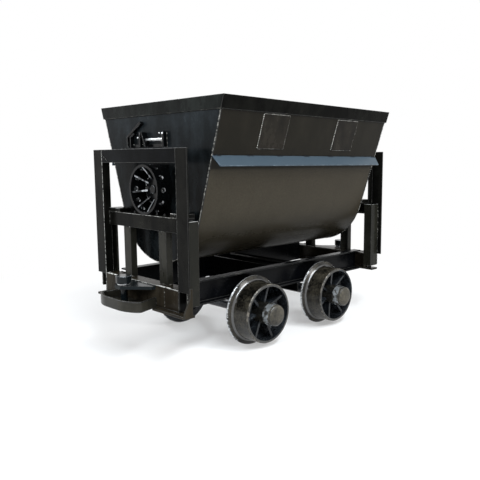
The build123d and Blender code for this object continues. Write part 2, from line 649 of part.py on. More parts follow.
# Drip strip: a plate leaning out from the long side
STRIP_RUN = side_y(STRIP_BOTTOM_Z) + STRIP_LEAN - side_y(STRIP_TOP_Z)
STRIP_WIDTH = math.hypot(STRIP_RUN, STRIP_DROP)
STRIP_PLANE = Plane(
    origin=(0, side_y(STRIP_TOP_Z), STRIP_TOP_Z),
    x_dir=(1, 0, 0),
    z_dir=(0, STRIP_DROP / STRIP_WIDTH, STRIP_RUN / STRIP_WIDTH),
)
with BuildPart() as drip_strip:
    with BuildSketch(STRIP_PLANE):
        with BuildLine():
            Polyline(
                (-BUCKET_END_X, 0),
                (BUCKET_END_X, 0),
                (STRIP_END_X, STRIP_WIDTH),
                (-STRIP_END_X, STRIP_WIDTH),
                close=True,
            )
        make_face()
    extrude(amount=STRIP_WALL)
save_sides(drip_strip, "drip_strip")

# Doubler plates: two flat patches on each long side
DOUBLER_MID_Z = (DOUBLER_TOP_Z + DOUBLER_BOTTOM_Z) / 2
DOUBLER_PLANE = Plane(
    origin=(0, side_y(DOUBLER_MID_Z), DOUBLER_MID_Z),
    x_dir=(1, 0, 0),
    z_dir=(0, SIDE_COS, -SIDE_SLOPE * SIDE_COS),
)
with BuildPart() as doublers:
    with BuildSketch(DOUBLER_PLANE):
        with Locations((-DOUBLER_X, 0), (DOUBLER_X, 0)):
            Rectangle(DOUBLER_LENGTH, (DOUBLER_TOP_Z - DOUBLER_BOTTOM_Z) / SIDE_COS)
    extrude(amount=DOUBLER_THICKNESS)
save_sides(doublers, "doublers")

# Roll ring: a wall with a ring of holes, a recessed disc and sloping ribs
ROLL_CENTRE = (0, 0, ROLL_Z)
RING_INNER_RADIUS = RING_RADIUS - RING_WALL
with BuildPart() as roll_ring:
    with BuildSketch(Plane.YZ.offset(BUCKET_END_X)):
        with Locations((0, ROLL_Z)):
            Circle(RING_RADIUS)
            Circle(RING_INNER_RADIUS, mode=Mode.SUBTRACT)
    extrude(amount=RING_FRONT_X - BUCKET_END_X)
    with BuildSketch(Plane.YZ.offset(BUCKET_END_X)):
        with Locations((0, ROLL_Z)):
            Circle(RING_DISC_RADIUS)
            Circle(BUTTON_RADIUS + BEARING_GAP, mode=Mode.SUBTRACT)
    extrude(amount=RING_DISC_X - BUCKET_END_X)
    for rib in range(RING_RIBS):
        angle = math.radians(360 / RING_RIBS * rib + RING_RIB_START)
        rib_plane = Plane(
            origin=ROLL_CENTRE,
            x_dir=(1, 0, 0),
            z_dir=(0, -math.sin(angle), math.cos(angle)),
        )
        with BuildSketch(rib_plane):
            with BuildLine():
                Polyline(
                    (BUCKET_END_X, RING_DISC_RADIUS - RING_RIB_LAP),
                    (RING_DISC_X + RING_RIB_STEP, RING_DISC_RADIUS - RING_RIB_LAP),
                    (RING_FRONT_X - RING_RIB_STEP, RING_INNER_RADIUS + RIB_SINK),
                    (BUCKET_END_X, RING_INNER_RADIUS + RIB_SINK),
                    close=True,
                )
            make_face()
        extrude(amount=RING_RIB_THICKNESS / 2, both=True)
    for hole in range(RING_HOLES):
        angle = math.radians(360 / RING_HOLES * hole - 90)
        hole_plane = Plane(
            origin=(STUD_X, 0, ROLL_Z),
            x_dir=(1, 0, 0),
            z_dir=(0, math.cos(angle), math.sin(angle)),
        )
        with BuildSketch(hole_plane.offset(RING_INNER_RADIUS - RING_WALL / 2)):
            Circle(RING_HOLE_RADIUS)
        extrude(amount=2 * RING_WALL, mode=Mode.SUBTRACT)
save_ends(roll_ring, "roll_ring")

# Roll button: the plug on the ring's axis
with BuildPart() as roll_button:
    with BuildSketch(Plane.YZ.offset(BUTTON_FRONT_X - BUTTON_LENGTH)):
        with Locations((0, ROLL_Z)):
            Circle(BUTTON_RADIUS)
    extrude(amount=BUTTON_LENGTH)
save_ends(roll_button, "roll_button")

# Catch: a hook with a spur, two lugs, a pawl and a round bar on the end wall
with BuildPart() as catch:
    with BuildSketch(Plane.YZ.offset(BUCKET_END_X)):
        with BuildLine():
            Polyline(
                (-CATCH_HOOK_Y, CATCH_BOTTOM_Z),
                (-CATCH_HOOK_Y, CATCH_ELBOW_Z),
                (-CATCH_TIP_Y, CATCH_TIP_Z),
                (-CATCH_TIP_Y + CATCH_HOOK_WIDTH, CATCH_TIP_Z - CATCH_HOOK_WIDTH),
                (CATCH_HOOK_WIDTH - CATCH_HOOK_Y, CATCH_ELBOW_Z - CATCH_HOOK_STEP),
                (CATCH_HOOK_WIDTH - CATCH_HOOK_Y, CATCH_BOTTOM_Z),
                close=True,
            )
        make_face()
    extrude(amount=CATCH_HOOK_DEPTH)
    with BuildSketch(Plane.YZ.offset(BUCKET_END_X)):
        with BuildLine():
            Polyline(
                (-CATCH_SPUR_Y, CATCH_BOTTOM_Z),
                (-CATCH_SPUR_Y, CATCH_ELBOW_Z),
                (-CATCH_SPUR_TIP_Y, CATCH_TOP_Z),
                (-CATCH_SPUR_TIP_Y + CATCH_SPUR_WIDTH, CATCH_TOP_Z - CATCH_SPUR_WIDTH),
                (CATCH_SPUR_WIDTH - CATCH_SPUR_Y, CATCH_ELBOW_Z - CATCH_SPUR_STEP),
                (CATCH_SPUR_WIDTH - CATCH_SPUR_Y, CATCH_BOTTOM_Z),
                close=True,
            )
        make_face()
    extrude(amount=CATCH_HOOK_DEPTH)
    with BuildSketch(Plane.YZ.offset(BUCKET_END_X)):
        with Locations(((CATCH_LUG_Y - CATCH_HOOK_Y) / 2, CATCH_BOTTOM_Z + CATCH_STRAP_HEIGHT / 2)):
            Rectangle(CATCH_LUG_Y + CATCH_HOOK_Y, CATCH_STRAP_HEIGHT)
    extrude(amount=CATCH_STRAP_WALL)
    with BuildSketch(Plane.YZ.offset(BUCKET_END_X)):
        with Locations(
            (CATCH_LUG_Y, (CATCH_BOTTOM_Z + CATCH_TOP_Z) / 2),
            (-CATCH_INNER_LUG_Y, (CATCH_BOTTOM_Z + CATCH_TOP_Z) / 2),
        ):
            Rectangle(CATCH_LUG_WIDTH, CATCH_TOP_Z - CATCH_BOTTOM_Z)
    extrude(amount=CATCH_LUG_DEPTH)
    with BuildSketch(Plane.YZ.offset(BUCKET_END_X)):
        with BuildLine():
            Polyline(
                (-CATCH_PAWL_TOP_Y, CATCH_TOP_Z),
                (CATCH_PAWL_WIDTH - CATCH_PAWL_TOP_Y, CATCH_TOP_Z),
                (CATCH_PAWL_WIDTH - CATCH_PAWL_FOOT_Y, CATCH_BOTTOM_Z),
                (-CATCH_PAWL_FOOT_Y, CATCH_BOTTOM_Z),
                close=True,
            )
        make_face()
    extrude(amount=CATCH_PAWL_DEPTH)
    with BuildSketch(Plane.XZ.offset(-CATCH_LUG_Y)):
        with Locations((CATCH_BAR_X, CATCH_MID_Z)):
            Circle(CATCH_BAR_RADIUS)
    extrude(amount=CATCH_LUG_Y + (CATCH_PAWL_TOP_Y + CATCH_PAWL_FOOT_Y) / 2)
save_ends(catch, "catch")
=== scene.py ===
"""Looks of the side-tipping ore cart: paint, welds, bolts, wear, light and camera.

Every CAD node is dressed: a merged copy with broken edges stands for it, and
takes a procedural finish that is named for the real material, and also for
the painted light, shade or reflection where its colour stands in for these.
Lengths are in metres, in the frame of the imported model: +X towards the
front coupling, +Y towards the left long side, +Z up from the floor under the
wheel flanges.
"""

import json
import logging
import math
import random
from collections.abc import Callable, Iterable
from dataclasses import dataclass
from enum import Enum
from functools import partial

import bmesh
import bpy
from mathutils import Matrix, Vector

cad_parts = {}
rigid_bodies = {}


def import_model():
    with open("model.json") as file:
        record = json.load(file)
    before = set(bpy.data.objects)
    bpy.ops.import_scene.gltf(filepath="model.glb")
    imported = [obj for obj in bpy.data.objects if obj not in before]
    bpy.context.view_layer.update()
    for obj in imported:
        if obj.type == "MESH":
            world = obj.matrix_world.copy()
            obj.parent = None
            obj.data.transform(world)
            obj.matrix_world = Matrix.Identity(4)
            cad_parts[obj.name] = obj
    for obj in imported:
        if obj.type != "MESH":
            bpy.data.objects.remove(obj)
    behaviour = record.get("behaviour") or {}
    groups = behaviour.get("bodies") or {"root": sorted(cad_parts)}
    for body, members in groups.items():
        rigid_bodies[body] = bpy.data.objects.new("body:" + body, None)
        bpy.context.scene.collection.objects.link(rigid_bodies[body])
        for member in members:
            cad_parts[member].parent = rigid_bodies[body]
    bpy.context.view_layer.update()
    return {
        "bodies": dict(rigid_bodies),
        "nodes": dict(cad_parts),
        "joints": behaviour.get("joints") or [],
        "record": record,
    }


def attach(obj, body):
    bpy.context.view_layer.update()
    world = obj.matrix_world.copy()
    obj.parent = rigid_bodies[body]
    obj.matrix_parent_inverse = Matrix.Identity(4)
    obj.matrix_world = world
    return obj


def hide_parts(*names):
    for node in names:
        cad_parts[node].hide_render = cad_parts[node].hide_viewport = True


log = logging.getLogger("ore_cart")

MM = 0.001
NEAR = 1.0 * MM  # a point this close to a line is on it
FACING = 0.5  # a face looks along an axis when its normal has more of it
SMOOTH_DEG = 35.0  # edges of a new piece that turn by more stay sharp
DRESSED_SMOOTH_DEG = 32.0  # and those of a dressed CAD node
BROKEN_DEG = 50.0  # edges that turn by more are broken
BEAD_SEED = 17
IMAGE_PIXELS = 480
SENSOR_MM = 36.0
ENDS = (("front", 1.0), ("rear", -1.0))
SIDES = (("left", 1.0), ("right", -1.0))
CORNERS = tuple((f"{end}_{side}", sign_x, sign_y) for end, sign_x in ENDS for side, sign_y in SIDES)

Shape = bmesh.types.BMesh
Piece = bpy.types.Object
Material = bpy.types.Material
Socket = bpy.types.NodeSocket
Colour = tuple[float, float, float, float]
AddNode = Callable[..., bpy.types.Node]
Runs = Iterable[Iterable[Iterable[float]]]  # the corners of each weld bead
Test = Callable[[Vector, Vector], bool]  # of an edge's two ends, or of a face's centre and normal


# Small helpers


def linear(hex_code: str) -> Colour:
    """Turn an sRGB hex value into a linear colour.

    Args:
        hex_code: six hex digits.

    Returns:
        Linear red, green, blue and an alpha of one.
    """
    shares = [int(hex_code[start : start + 2], 16) / 255 for start in (0, 2, 4)]
    red, green, blue = (v / 12.92 if v <= 0.04045 else ((v + 0.055) / 1.055) ** 2.4 for v in shares)
    return (red, green, blue, 1.0)


def add_node(
    tree: bpy.types.NodeTree, kind: str, inputs: dict[str | int, object] | None = None, **settings: object
) -> bpy.types.Node:
    """Add a shader node, set its properties, and fill or link its inputs.

    Args:
        tree: the node tree that takes the node.
        kind: the node's type name.
        inputs: for each input, by name or index, a value, an output socket, or a
            node that gives its first output.
        **settings: properties of the node itself.

    Returns:
        The new node.
    """
    node = tree.nodes.new(kind)
    for name, value in settings.items():
        setattr(node, name, value)
    for key, value in (inputs or {}).items():
        if isinstance(value, bpy.types.Node):
            value = value.outputs[0]
        if isinstance(value, Socket):
            tree.links.new(value, node.inputs[key])
        else:
            node.inputs[key].default_value = value
    return node


def empty_tree(owner: Material | bpy.types.World) -> AddNode:
    """Give a material or a world an empty node tree.

    Args:
        owner: the material or world.

    Returns:
        A function that adds a node to the tree.
    """
    owner.use_nodes = True
    owner.node_tree.nodes.clear()
    return partial(add_node, owner.node_tree)


def finish_mesh(bm: Shape, name: str, smooth_angle: float = SMOOTH_DEG) -> Piece:
    """Turn a bmesh into a linked object at the origin, smooth but for its sharp edges.

    Args:
        bm: the shape in its final place; it is freed.
        name: the object's name.
        smooth_angle: edges that turn by more than this, in degrees, stay sharp.

    Returns:
        The new object.
    """
    limit = math.radians(smooth_angle)
    for face in bm.faces:
        face.smooth = True
    for edge in bm.edges:
        if len(edge.link_faces) == 2:
            edge.smooth = edge.calc_face_angle(0.0) < limit
    mesh = bpy.data.meshes.new(name)
    bm.to_mesh(mesh)
    bm.free()
    piece = bpy.data.objects.new(name, mesh)
    bpy.context.scene.collection.objects.link(piece)
    return piece


# Finishes


class Grime(Enum):
    """How much dust and wear a surface has taken in use."""

    CLEAN = 0.0
    DUSTY = 0.3
    SCUFFED = 0.8


@dataclass(frozen=True)
class SheenBand:
    """A lighter band in the dust colour on an upright face, a painted reflection: its share, and the heights
    where it fades in and out.
    """

    share: float = 0.0
    fade_in: tuple[float, float] = (0.0, 0.01)
    fade_out: tuple[float, float] = (9.0, 9.1)


@dataclass(frozen=True)
class Finish:
    """A finish of the cart, with its name and its main colour in sRGB hex."""

    name: str
    colour: str

    def surface(self, node: AddNode, coords: Socket) -> dict[str, object]:
        """Add the nodes of the finish's pattern.

        Args:
            node: adds a node to the tree.
            coords: the piece's coordinates.

        Returns:
            The shader's inputs.
        """
        raise NotImplementedError

    def build(self) -> Material:
        """Make the material.

        Returns:
            The material.
        """
        material = bpy.data.materials.new(self.name)
        node = empty_tree(material)
        coords = node("ShaderNodeTexCoord").outputs["Object"]
        shader = node("ShaderNodeBsdfPrincipled", self.surface(node, coords))
        node("ShaderNodeOutputMaterial", {"Surface": shader})
        return material


@dataclass(frozen=True)
class Enamel(Finish):
    """Gloss black machinery enamel, brushed over rolled steel plate.

    The eye gets a near-black colour with a soft wavy reflection, ore dust in
    patches and runs, a lighter band in the dust colour that is a painted
    reflection, a few chips, and the drag of the brush.
    """

    # The dust colour also colours the painted-reflection band.
    dust: str
    roughness: float
    specular: float
    grime: Grime = Grime.DUSTY
    patch_mm: float = 160.0
    # The film is a lighter band in the dust colour: a painted reflection.
    film: SheenBand = SheenBand()
    chip: str = "55514a"
    chip_share: float = 0.5
    gloss_rise: tuple[float, float] = (-1.0, -0.9)  # heights over which the gloss comes up

    def surface(self, node: AddNode, coords: Socket) -> dict[str, object]:
        """Lay dust, runs, the painted-reflection band, chips, waves and brush marks.

        Args:
            node: adds a node to the tree.
            coords: the piece's coordinates.

        Returns:
            The shader's inputs.
        """
        # Runs stretch three times as far down as across, and brush marks run across.
        down = node("ShaderNodeMapping", {"Vector": coords, "Scale": (1.0, 1.0, 0.33)})
        along = node("ShaderNodeMapping", {"Vector": coords, "Scale": (0.12, 0.12, 1.0)})
        patches, runs, grit, chips, waves, brush = (
            node(
                "ShaderNodeTexNoise",
                {"Vector": source, "Scale": 1000 / size_mm, "Detail": detail, "Roughness": roughness},
            )
            for source, size_mm, detail, roughness in (
                (coords, self.patch_mm, 5.0, 0.62),
                (down, 60.0, 3.0, 0.5),
                (coords, 7.0, 3.0, 0.6),  # grains of dust are under 1 mm; coarser so that they show
                (coords, 28.0, 8.0, 0.7),
                (coords, 130.0, 2.0, 0.4),  # rolled plate waves by under 1 mm over a hand's width
                (along, 4.0, 2.0, 0.5),  # brush marks are 1 mm apart; coarser so that they show
            )
        )
        both = node("ShaderNodeMath", {0: patches, 1: runs}, operation="MULTIPLY")
        # The film, a lighter band of painted reflection, lies between two heights. Lower down, splashes dull
        # the gloss.
        height = node("ShaderNodeSeparateXYZ", {"Vector": coords}).outputs["Z"]
        settled, grain, chipped, above, below, gloss = (
            node(
                "ShaderNodeMapRange",
                {"Value": source, "From Min": low, "From Max": high, "To Min": first, "To Max": last},
                interpolation_type="SMOOTHSTEP" if source is height else "LINEAR",
            )
            for source, (low, high), first, last in (
                (both, (0.18, 0.42), 0.0, 0.03 + 0.35 * self.grime.value),
                (grit, (0.3, 0.7), 0.8, 1.2),
                (chips, (0.7, 0.73), 0.0, self.chip_share),
                (height, self.film.fade_in, 0.0, self.film.share),
                (height, self.film.fade_out, 1.0, 0.0),
                (height, self.gloss_rise, 0.0, self.specular),
            )
        )
        film = node("ShaderNodeMath", {0: above, 1: below}, operation="MULTIPLY")
        # Dust patches plus the painted-reflection band.
        dusty = node("ShaderNodeMath", {0: settled, 1: film}, operation="ADD")
        amount = node("ShaderNodeMath", {0: dusty, 1: grain}, operation="MULTIPLY", use_clamp=True)
        dust_and_sheen_colour = node(
            "ShaderNodeMix", {0: amount, 6: linear(self.colour), 7: linear(self.dust)}, data_type="RGBA"
        )
        colour = node(
            "ShaderNodeMix", {0: chipped, 6: dust_and_sheen_colour.outputs[2], 7: linear(self.chip)}, data_type="RGBA"
        )
        rough = node(
            "ShaderNodeMapRange", {"Value": amount, "To Min": self.roughness, "To Max": self.roughness + 0.4}
        )
        wavy = node("ShaderNodeBump", {"Strength": 0.16, "Distance": 0.006, "Height": waves})
        bump = node("ShaderNodeBump", {"Strength": 0.07, "Distance": 0.0006, "Height": brush, "Normal": wavy})
        return {
            "Base Color": colour.outputs[2], "Roughness": rough, "Specular IOR Level": gloss, "Normal": bump
        }


@dataclass(frozen=True)
class CastEnamel(Finish):
    """Gloss black enamel poured thick over a sand-cast iron wheel.

    The eye gets a wet black gloss over the fine pitted skin of the casting,
    with dust caught in the pits; on the tread the warm dust also stands for a
    painted reflection of the floor.
    """

    dust: str
    roughness: float
    specular: float
    dust_and_sheen_share: float
    pit_mm: float = 9.0  # sand grains leave pits of about 1 mm; coarser so that they show

    def surface(self, node: AddNode, coords: Socket) -> dict[str, object]:
        """Lay pits, lumps and the dust that they catch.

        Args:
            node: adds a node to the tree.
            coords: the piece's coordinates.

        Returns:
            The shader's inputs.
        """
        skin = node(
            "ShaderNodeTexNoise",
            {"Vector": coords, "Scale": 1000 / self.pit_mm, "Detail": 4.0, "Roughness": 0.6},
        )
        lumps = node(
            "ShaderNodeTexNoise", {"Vector": coords, "Scale": 1000 / 70.0, "Detail": 3.0, "Roughness": 0.55}
        )
        caught = node("ShaderNodeMath", {0: skin, 1: lumps}, operation="MULTIPLY")
        amount = node(
            "ShaderNodeMapRange",
            {"Value": caught, "From Min": 0.16, "From Max": 0.4, "To Max": self.dust_and_sheen_share},
        )
        colour = node(
            "ShaderNodeMix", {0: amount, 6: linear(self.colour), 7: linear(self.dust)}, data_type="RGBA"
        )
        rough = node(
            "ShaderNodeMapRange", {"Value": amount, "To Min": self.roughness, "To Max": self.roughness + 0.5}
        )
        lumpy = node("ShaderNodeBump", {"Strength": 0.15, "Distance": 0.004, "Height": lumps})
        bump = node("ShaderNodeBump", {"Strength": 0.15, "Distance": 0.001, "Height": skin, "Normal": lumpy})
        return {
            "Base Color": colour.outputs[2], "Roughness": rough, "Specular IOR Level": self.specular,
            "Normal": bump,
        }


@dataclass(frozen=True)
class Patchy(Finish):
    """A finish whose second colour shows in patches, with its metal in one of the two colours."""

    second: str
    share: float
    roughness: float = 0.34
    patch_mm: float = 30.0
    metallic: tuple[float, float] = (0.0, 0.55)
    level: tuple[float, float, float] = (0.64, 0.3, 0.12)  # of the noise: at no share, its fall, its edge
    ragged: float = 0.7
    specular: float = 0.3
    grain: float = 0.0  # bump of the patches, which are then rougher too

    def surface(self, node: AddNode, coords: Socket) -> dict[str, object]:
        """Lay the second colour's patches over the first.

        Args:
            node: adds a node to the tree.
            coords: the piece's coordinates.

        Returns:
            The shader's inputs.
        """
        noise = node(
            "ShaderNodeTexNoise",
            {"Vector": coords, "Scale": 1000 / self.patch_mm, "Detail": 6.0, "Roughness": self.ragged},
        )
        start = self.level[0] - self.level[1] * self.share
        limits = {"Value": noise, "From Min": start, "From Max": start + self.level[2]}
        patch = node("ShaderNodeMapRange", limits)
        colour = node(
            "ShaderNodeMix", {0: patch, 6: linear(self.colour), 7: linear(self.second)}, data_type="RGBA"
        )
        first, last = self.metallic
        inputs = {
            "Base Color": colour.outputs[2],
            "Metallic": node("ShaderNodeMapRange", {"Value": patch, "To Min": first, "To Max": last}),
            "Roughness": self.roughness,
            "Specular IOR Level": self.specular,
        }
        if self.grain:
            rise = {"Value": patch, "To Min": self.roughness, "To Max": self.roughness + 0.2}
            inputs["Roughness"] = node("ShaderNodeMapRange", rise)
            bump = {"Strength": self.grain, "Distance": 0.0006, "Height": noise}
            inputs["Normal"] = node("ShaderNodeBump", bump)
        return inputs


@dataclass(frozen=True)
class RubbedEdge(Patchy):
    """Enamel rubbed thin on a plate's edge, with steel showing through in places.

    The eye gets a broken light line along the edge, partly wear and partly a painted highlight, brighter
    where it was struck.
    """


@dataclass(frozen=True)
class WornSteel(Patchy):
    """Bare mild steel, rubbed or welded bright, under a broken dark film; on the hub skirt, flange rim, ring
    holes, ring welds and catch bar the bright steel is painted light.

    The eye gets a light grey metal with short highlights, and the film makes it
    look dotted along a weld and patchy on a wider face. Slag and lime on a weld
    make it less metallic.
    """

    metallic: tuple[float, float] = (0.85, 0.0)
    level: tuple[float, float, float] = (0.62, 0.32, 0.1)
    ragged: float = 0.65
    specular: float = 0.25
    grain: float = 0.25


# Building blocks


@dataclass(frozen=True)
class Dressing:
    """What a CAD node wears, by the names of its finishes, and how far its edges are broken.
    """

    paint: str
    edge: str | None = "edge"
    edge_mm: float = 2.0
    slot: str = ""
    segments: int = 2
    worn: str | None = None
    worn_edges: Test | None = None
    worn_mm: float = 0.0


@dataclass(frozen=True)
class Weld:
    """A weld bead: its finish, half its width and its ripple spacing, in metres."""

    finish: str
    radius: float = 0.0032
    pitch: float = 0.0065


def runs_across(x: float, z: float, first: Vector, second: Vector) -> bool:
    """Whether an edge lies on the line across the cart that is x from its middle, at the height z."""
    return all(abs(abs(end.x) - x) < NEAR and abs(end.z - z) < NEAR for end in (first, second))


def merged_copy(node: Piece) -> Shape:
    """Copy a CAD node's mesh, merge its loose triangles and join its flat faces.

    Args:
        node: the CAD node's object.

    Returns:
        A new bmesh.
    """
    bm = bmesh.new()
    bm.from_mesh(node.data)
    bmesh.ops.remove_doubles(bm, verts=bm.verts[:], dist=2e-6)
    bmesh.ops.dissolve_limit(bm, angle_limit=math.radians(0.6), verts=bm.verts[:], edges=bm.edges[:])
    return bm


def add_bead(bm: Shape, path: list[Vector], weld: Weld, seed: int) -> None:
    """Lay a rippled weld bead along a path, as overlapping flattened drops.

    Args:
        bm: takes the bead.
        path: the corners of the path.
        weld: the bead's size.
        seed: fixes the small differences between the drops.
    """
    dice = random.Random(seed)
    for start, end in zip(path, path[1:]):
        run = end - start
        steps = max(1, round(run.length / weld.pitch))
        turn = run.to_track_quat("X", "Z").to_matrix().to_4x4()
        for step in range(steps):
            place = start + run * ((step + 0.5) / steps)
            size = weld.radius * dice.uniform(0.82, 1.16)
            matrix = Matrix.Translation(place) @ turn @ Matrix.Diagonal((1.0, 1.0, 0.8, 1.0))
            bmesh.ops.create_icosphere(bm, subdivisions=1, radius=size, matrix=matrix)


def add_dome(
    bm: Shape, seat: Vector, outward: Vector, outline: list[tuple[float, float]], steps: int
) -> None:
    """Add a round head that stands on a seat.

    Args:
        bm: takes the head.
        seat: centre of the seat.
        outward: direction from the seat to the head.
        outline: radius and height of each corner, from the foot to the crown.
        steps: faces round the full turn.
    """
    across = outward.orthogonal().normalized()
    verts = [bm.verts.new(seat + across * radius + outward * height) for radius, height in outline]
    edges = [bm.edges.new(pair) for pair in zip(verts, verts[1:])]
    bmesh.ops.spin(
        bm, geom=verts + edges, cent=seat, axis=outward, angle=math.tau, steps=steps, use_merge=True
    )
    bmesh.ops.remove_doubles(bm, verts=bm.verts[:], dist=1e-6)


def add_bolt(
    bm: Shape, seat: Vector, across: float = 0.022, height: float = 0.01, washer: float = 0.027
) -> None:
    """Stand a hexagon head on its washer.

    Args:
        bm: takes the bolt.
        seat: centre of the seat, which faces up.
        across: the head's diameter over its corners.
        height: height of the head.
        washer: diameter of the washer.
    """
    for size, base, tall, sides in ((washer, 0.0, height * 0.22, 20), (across, height * 0.2, height, 6)):
        matrix = Matrix.Translation(seat + Vector((0, 0, base + tall / 2)))
        made = bmesh.ops.create_cone(
            bm, cap_ends=True, segments=sides, radius1=size / 2, radius2=size / 2, depth=tall, matrix=matrix
        )
        top = [edge for vert in made["verts"] for edge in vert.link_edges]
        crown = seat.z + base + tall * 0.9
        top = [edge for edge in dict.fromkeys(top) if all(vert.co.z > crown for vert in edge.verts)]
        bmesh.ops.bevel(
            bm, geom=top, offset=height * 0.12, affect="EDGES", segments=1, profile=0.5, material=-1
        )


@dataclass
class SubAssembly:
    """A group of pieces that is dressed together, with the finishes by name."""

    frame: dict
    bodies: dict[str, str]
    paints: dict[str, Material]

    def place(self, piece: Piece, body: str, finishes: Iterable[str], slot: str = "") -> None:
        """Give a piece its materials and body, and report it.

        Args:
            piece: the finished object.
            body: the CAD body that it rides on.
            finishes: its finishes in the order of their indices.
            slot: the record's material slot, where it isn't the body's own; not used.
        """
        for name in finishes:
            piece.data.materials.append(self.paints[name])
        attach(piece, body)
        log.info("%s rides on %s, %d faces", piece.name, body, len(piece.data.polygons))

    def dress(self, node: str, wear: Dressing) -> Piece:
        """Replace a CAD node by its copy with broken, rubbed edges.

        Args:
            node: the CAD node's name.
            wear: its finish.

        Returns:
            The new object.
        """
        bm = merged_copy(self.frame["nodes"][node])
        piece = finish_mesh(bm, node + "_dressed", DRESSED_SMOOTH_DEG)
        finishes = [name for name in (wear.paint, wear.edge, wear.worn) if name]
        self.place(piece, self.bodies[node], finishes, wear.slot)
        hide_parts(node)
        # The marked edges are rounded first, then all sharp ones; -1 is the finish beside an edge.
        roundings = [("broken_edges", "ANGLE", wear.edge_mm, wear.segments, 1 if wear.edge else -1)]
        if wear.worn_edges:
            self.mark_worn_edges(piece, wear.worn_edges)
            width_mm = wear.worn_mm or wear.edge_mm
            roundings.insert(0, ("worn_edges", "WEIGHT", width_mm, 4, len(finishes) - 1))
        for name, limit, width_mm, segments, material in roundings:
            bevel = piece.modifiers.new(name, "BEVEL")
            bevel.width = width_mm * MM
            bevel.segments = segments
            bevel.limit_method = limit
            bevel.angle_limit = math.radians(BROKEN_DEG)
            bevel.material = material
            bevel.harden_normals = True
            bevel.use_clamp_overlap = True
        return piece

    def mark_worn_edges(self, piece: Piece, test: Test) -> None:
        """Give full bevel weight to the sharp edges that the test picks.

        Args:
            piece: the dressed piece.
            test: takes an edge's two ends and says whether it is worn bright.
        """
        mesh = piece.data
        weights = mesh.attributes.new("bevel_weight_edge", "FLOAT", "EDGE")
        for edge in mesh.edges:
            first, second = (mesh.vertices[index].co for index in edge.vertices)
            if edge.use_edge_sharp and test(first, second):
                weights.data[edge.index].value = 1.0

    def paint_faces(self, piece: Piece, finish: str, test: Test) -> None:
        """Give one more finish to the faces that the test picks.

        Args:
            piece: the dressed piece.
            finish: what those faces wear.
            test: takes a face's centre and normal.
        """
        piece.data.materials.append(self.paints[finish])
        index = len(piece.data.materials) - 1
        for face in piece.data.polygons:
            if test(face.center, face.normal):
                face.material_index = index

    def lay_welds(
        self, name: str, body: str, weld: Weld, runs: Runs, sign_x: float = 1.0, sign_y: float = 1.0
    ) -> None:
        """Lay a group of weld beads as one piece.

        Args:
            name: the piece's name.
            body: the CAD body that it rides on.
            weld: the bead's size and finish.
            runs: the corners of each bead.
            sign_x: -1 moves them to the rear end.
            sign_y: -1 moves them to the right side.
        """
        bm = bmesh.new()
        for index, run in enumerate(runs):
            path = [Vector((sign_x * x, sign_y * y, z)) for x, y, z in run]
            add_bead(bm, path, weld, BEAD_SEED + index)
        self.add_piece(bm, name, body, weld.finish)

    def add_piece(
        self, bm: Shape, name: str, body: str, finish: str, smooth_angle: float = SMOOTH_DEG
    ) -> Piece:
        """Make a new piece that the CAD model leaves to this script.

        Args:
            bm: the piece in place.
            name: its name.
            body: the CAD body that it rides on.
            finish: its finish.
            smooth_angle: edges that turn by more, in degrees, stay sharp.

        Returns:
            The new object.
        """
        bmesh.ops.recalc_face_normals(bm, faces=bm.faces[:])
        piece = finish_mesh(bm, name, smooth_angle)
        self.place(piece, body, [finish])
        return piece


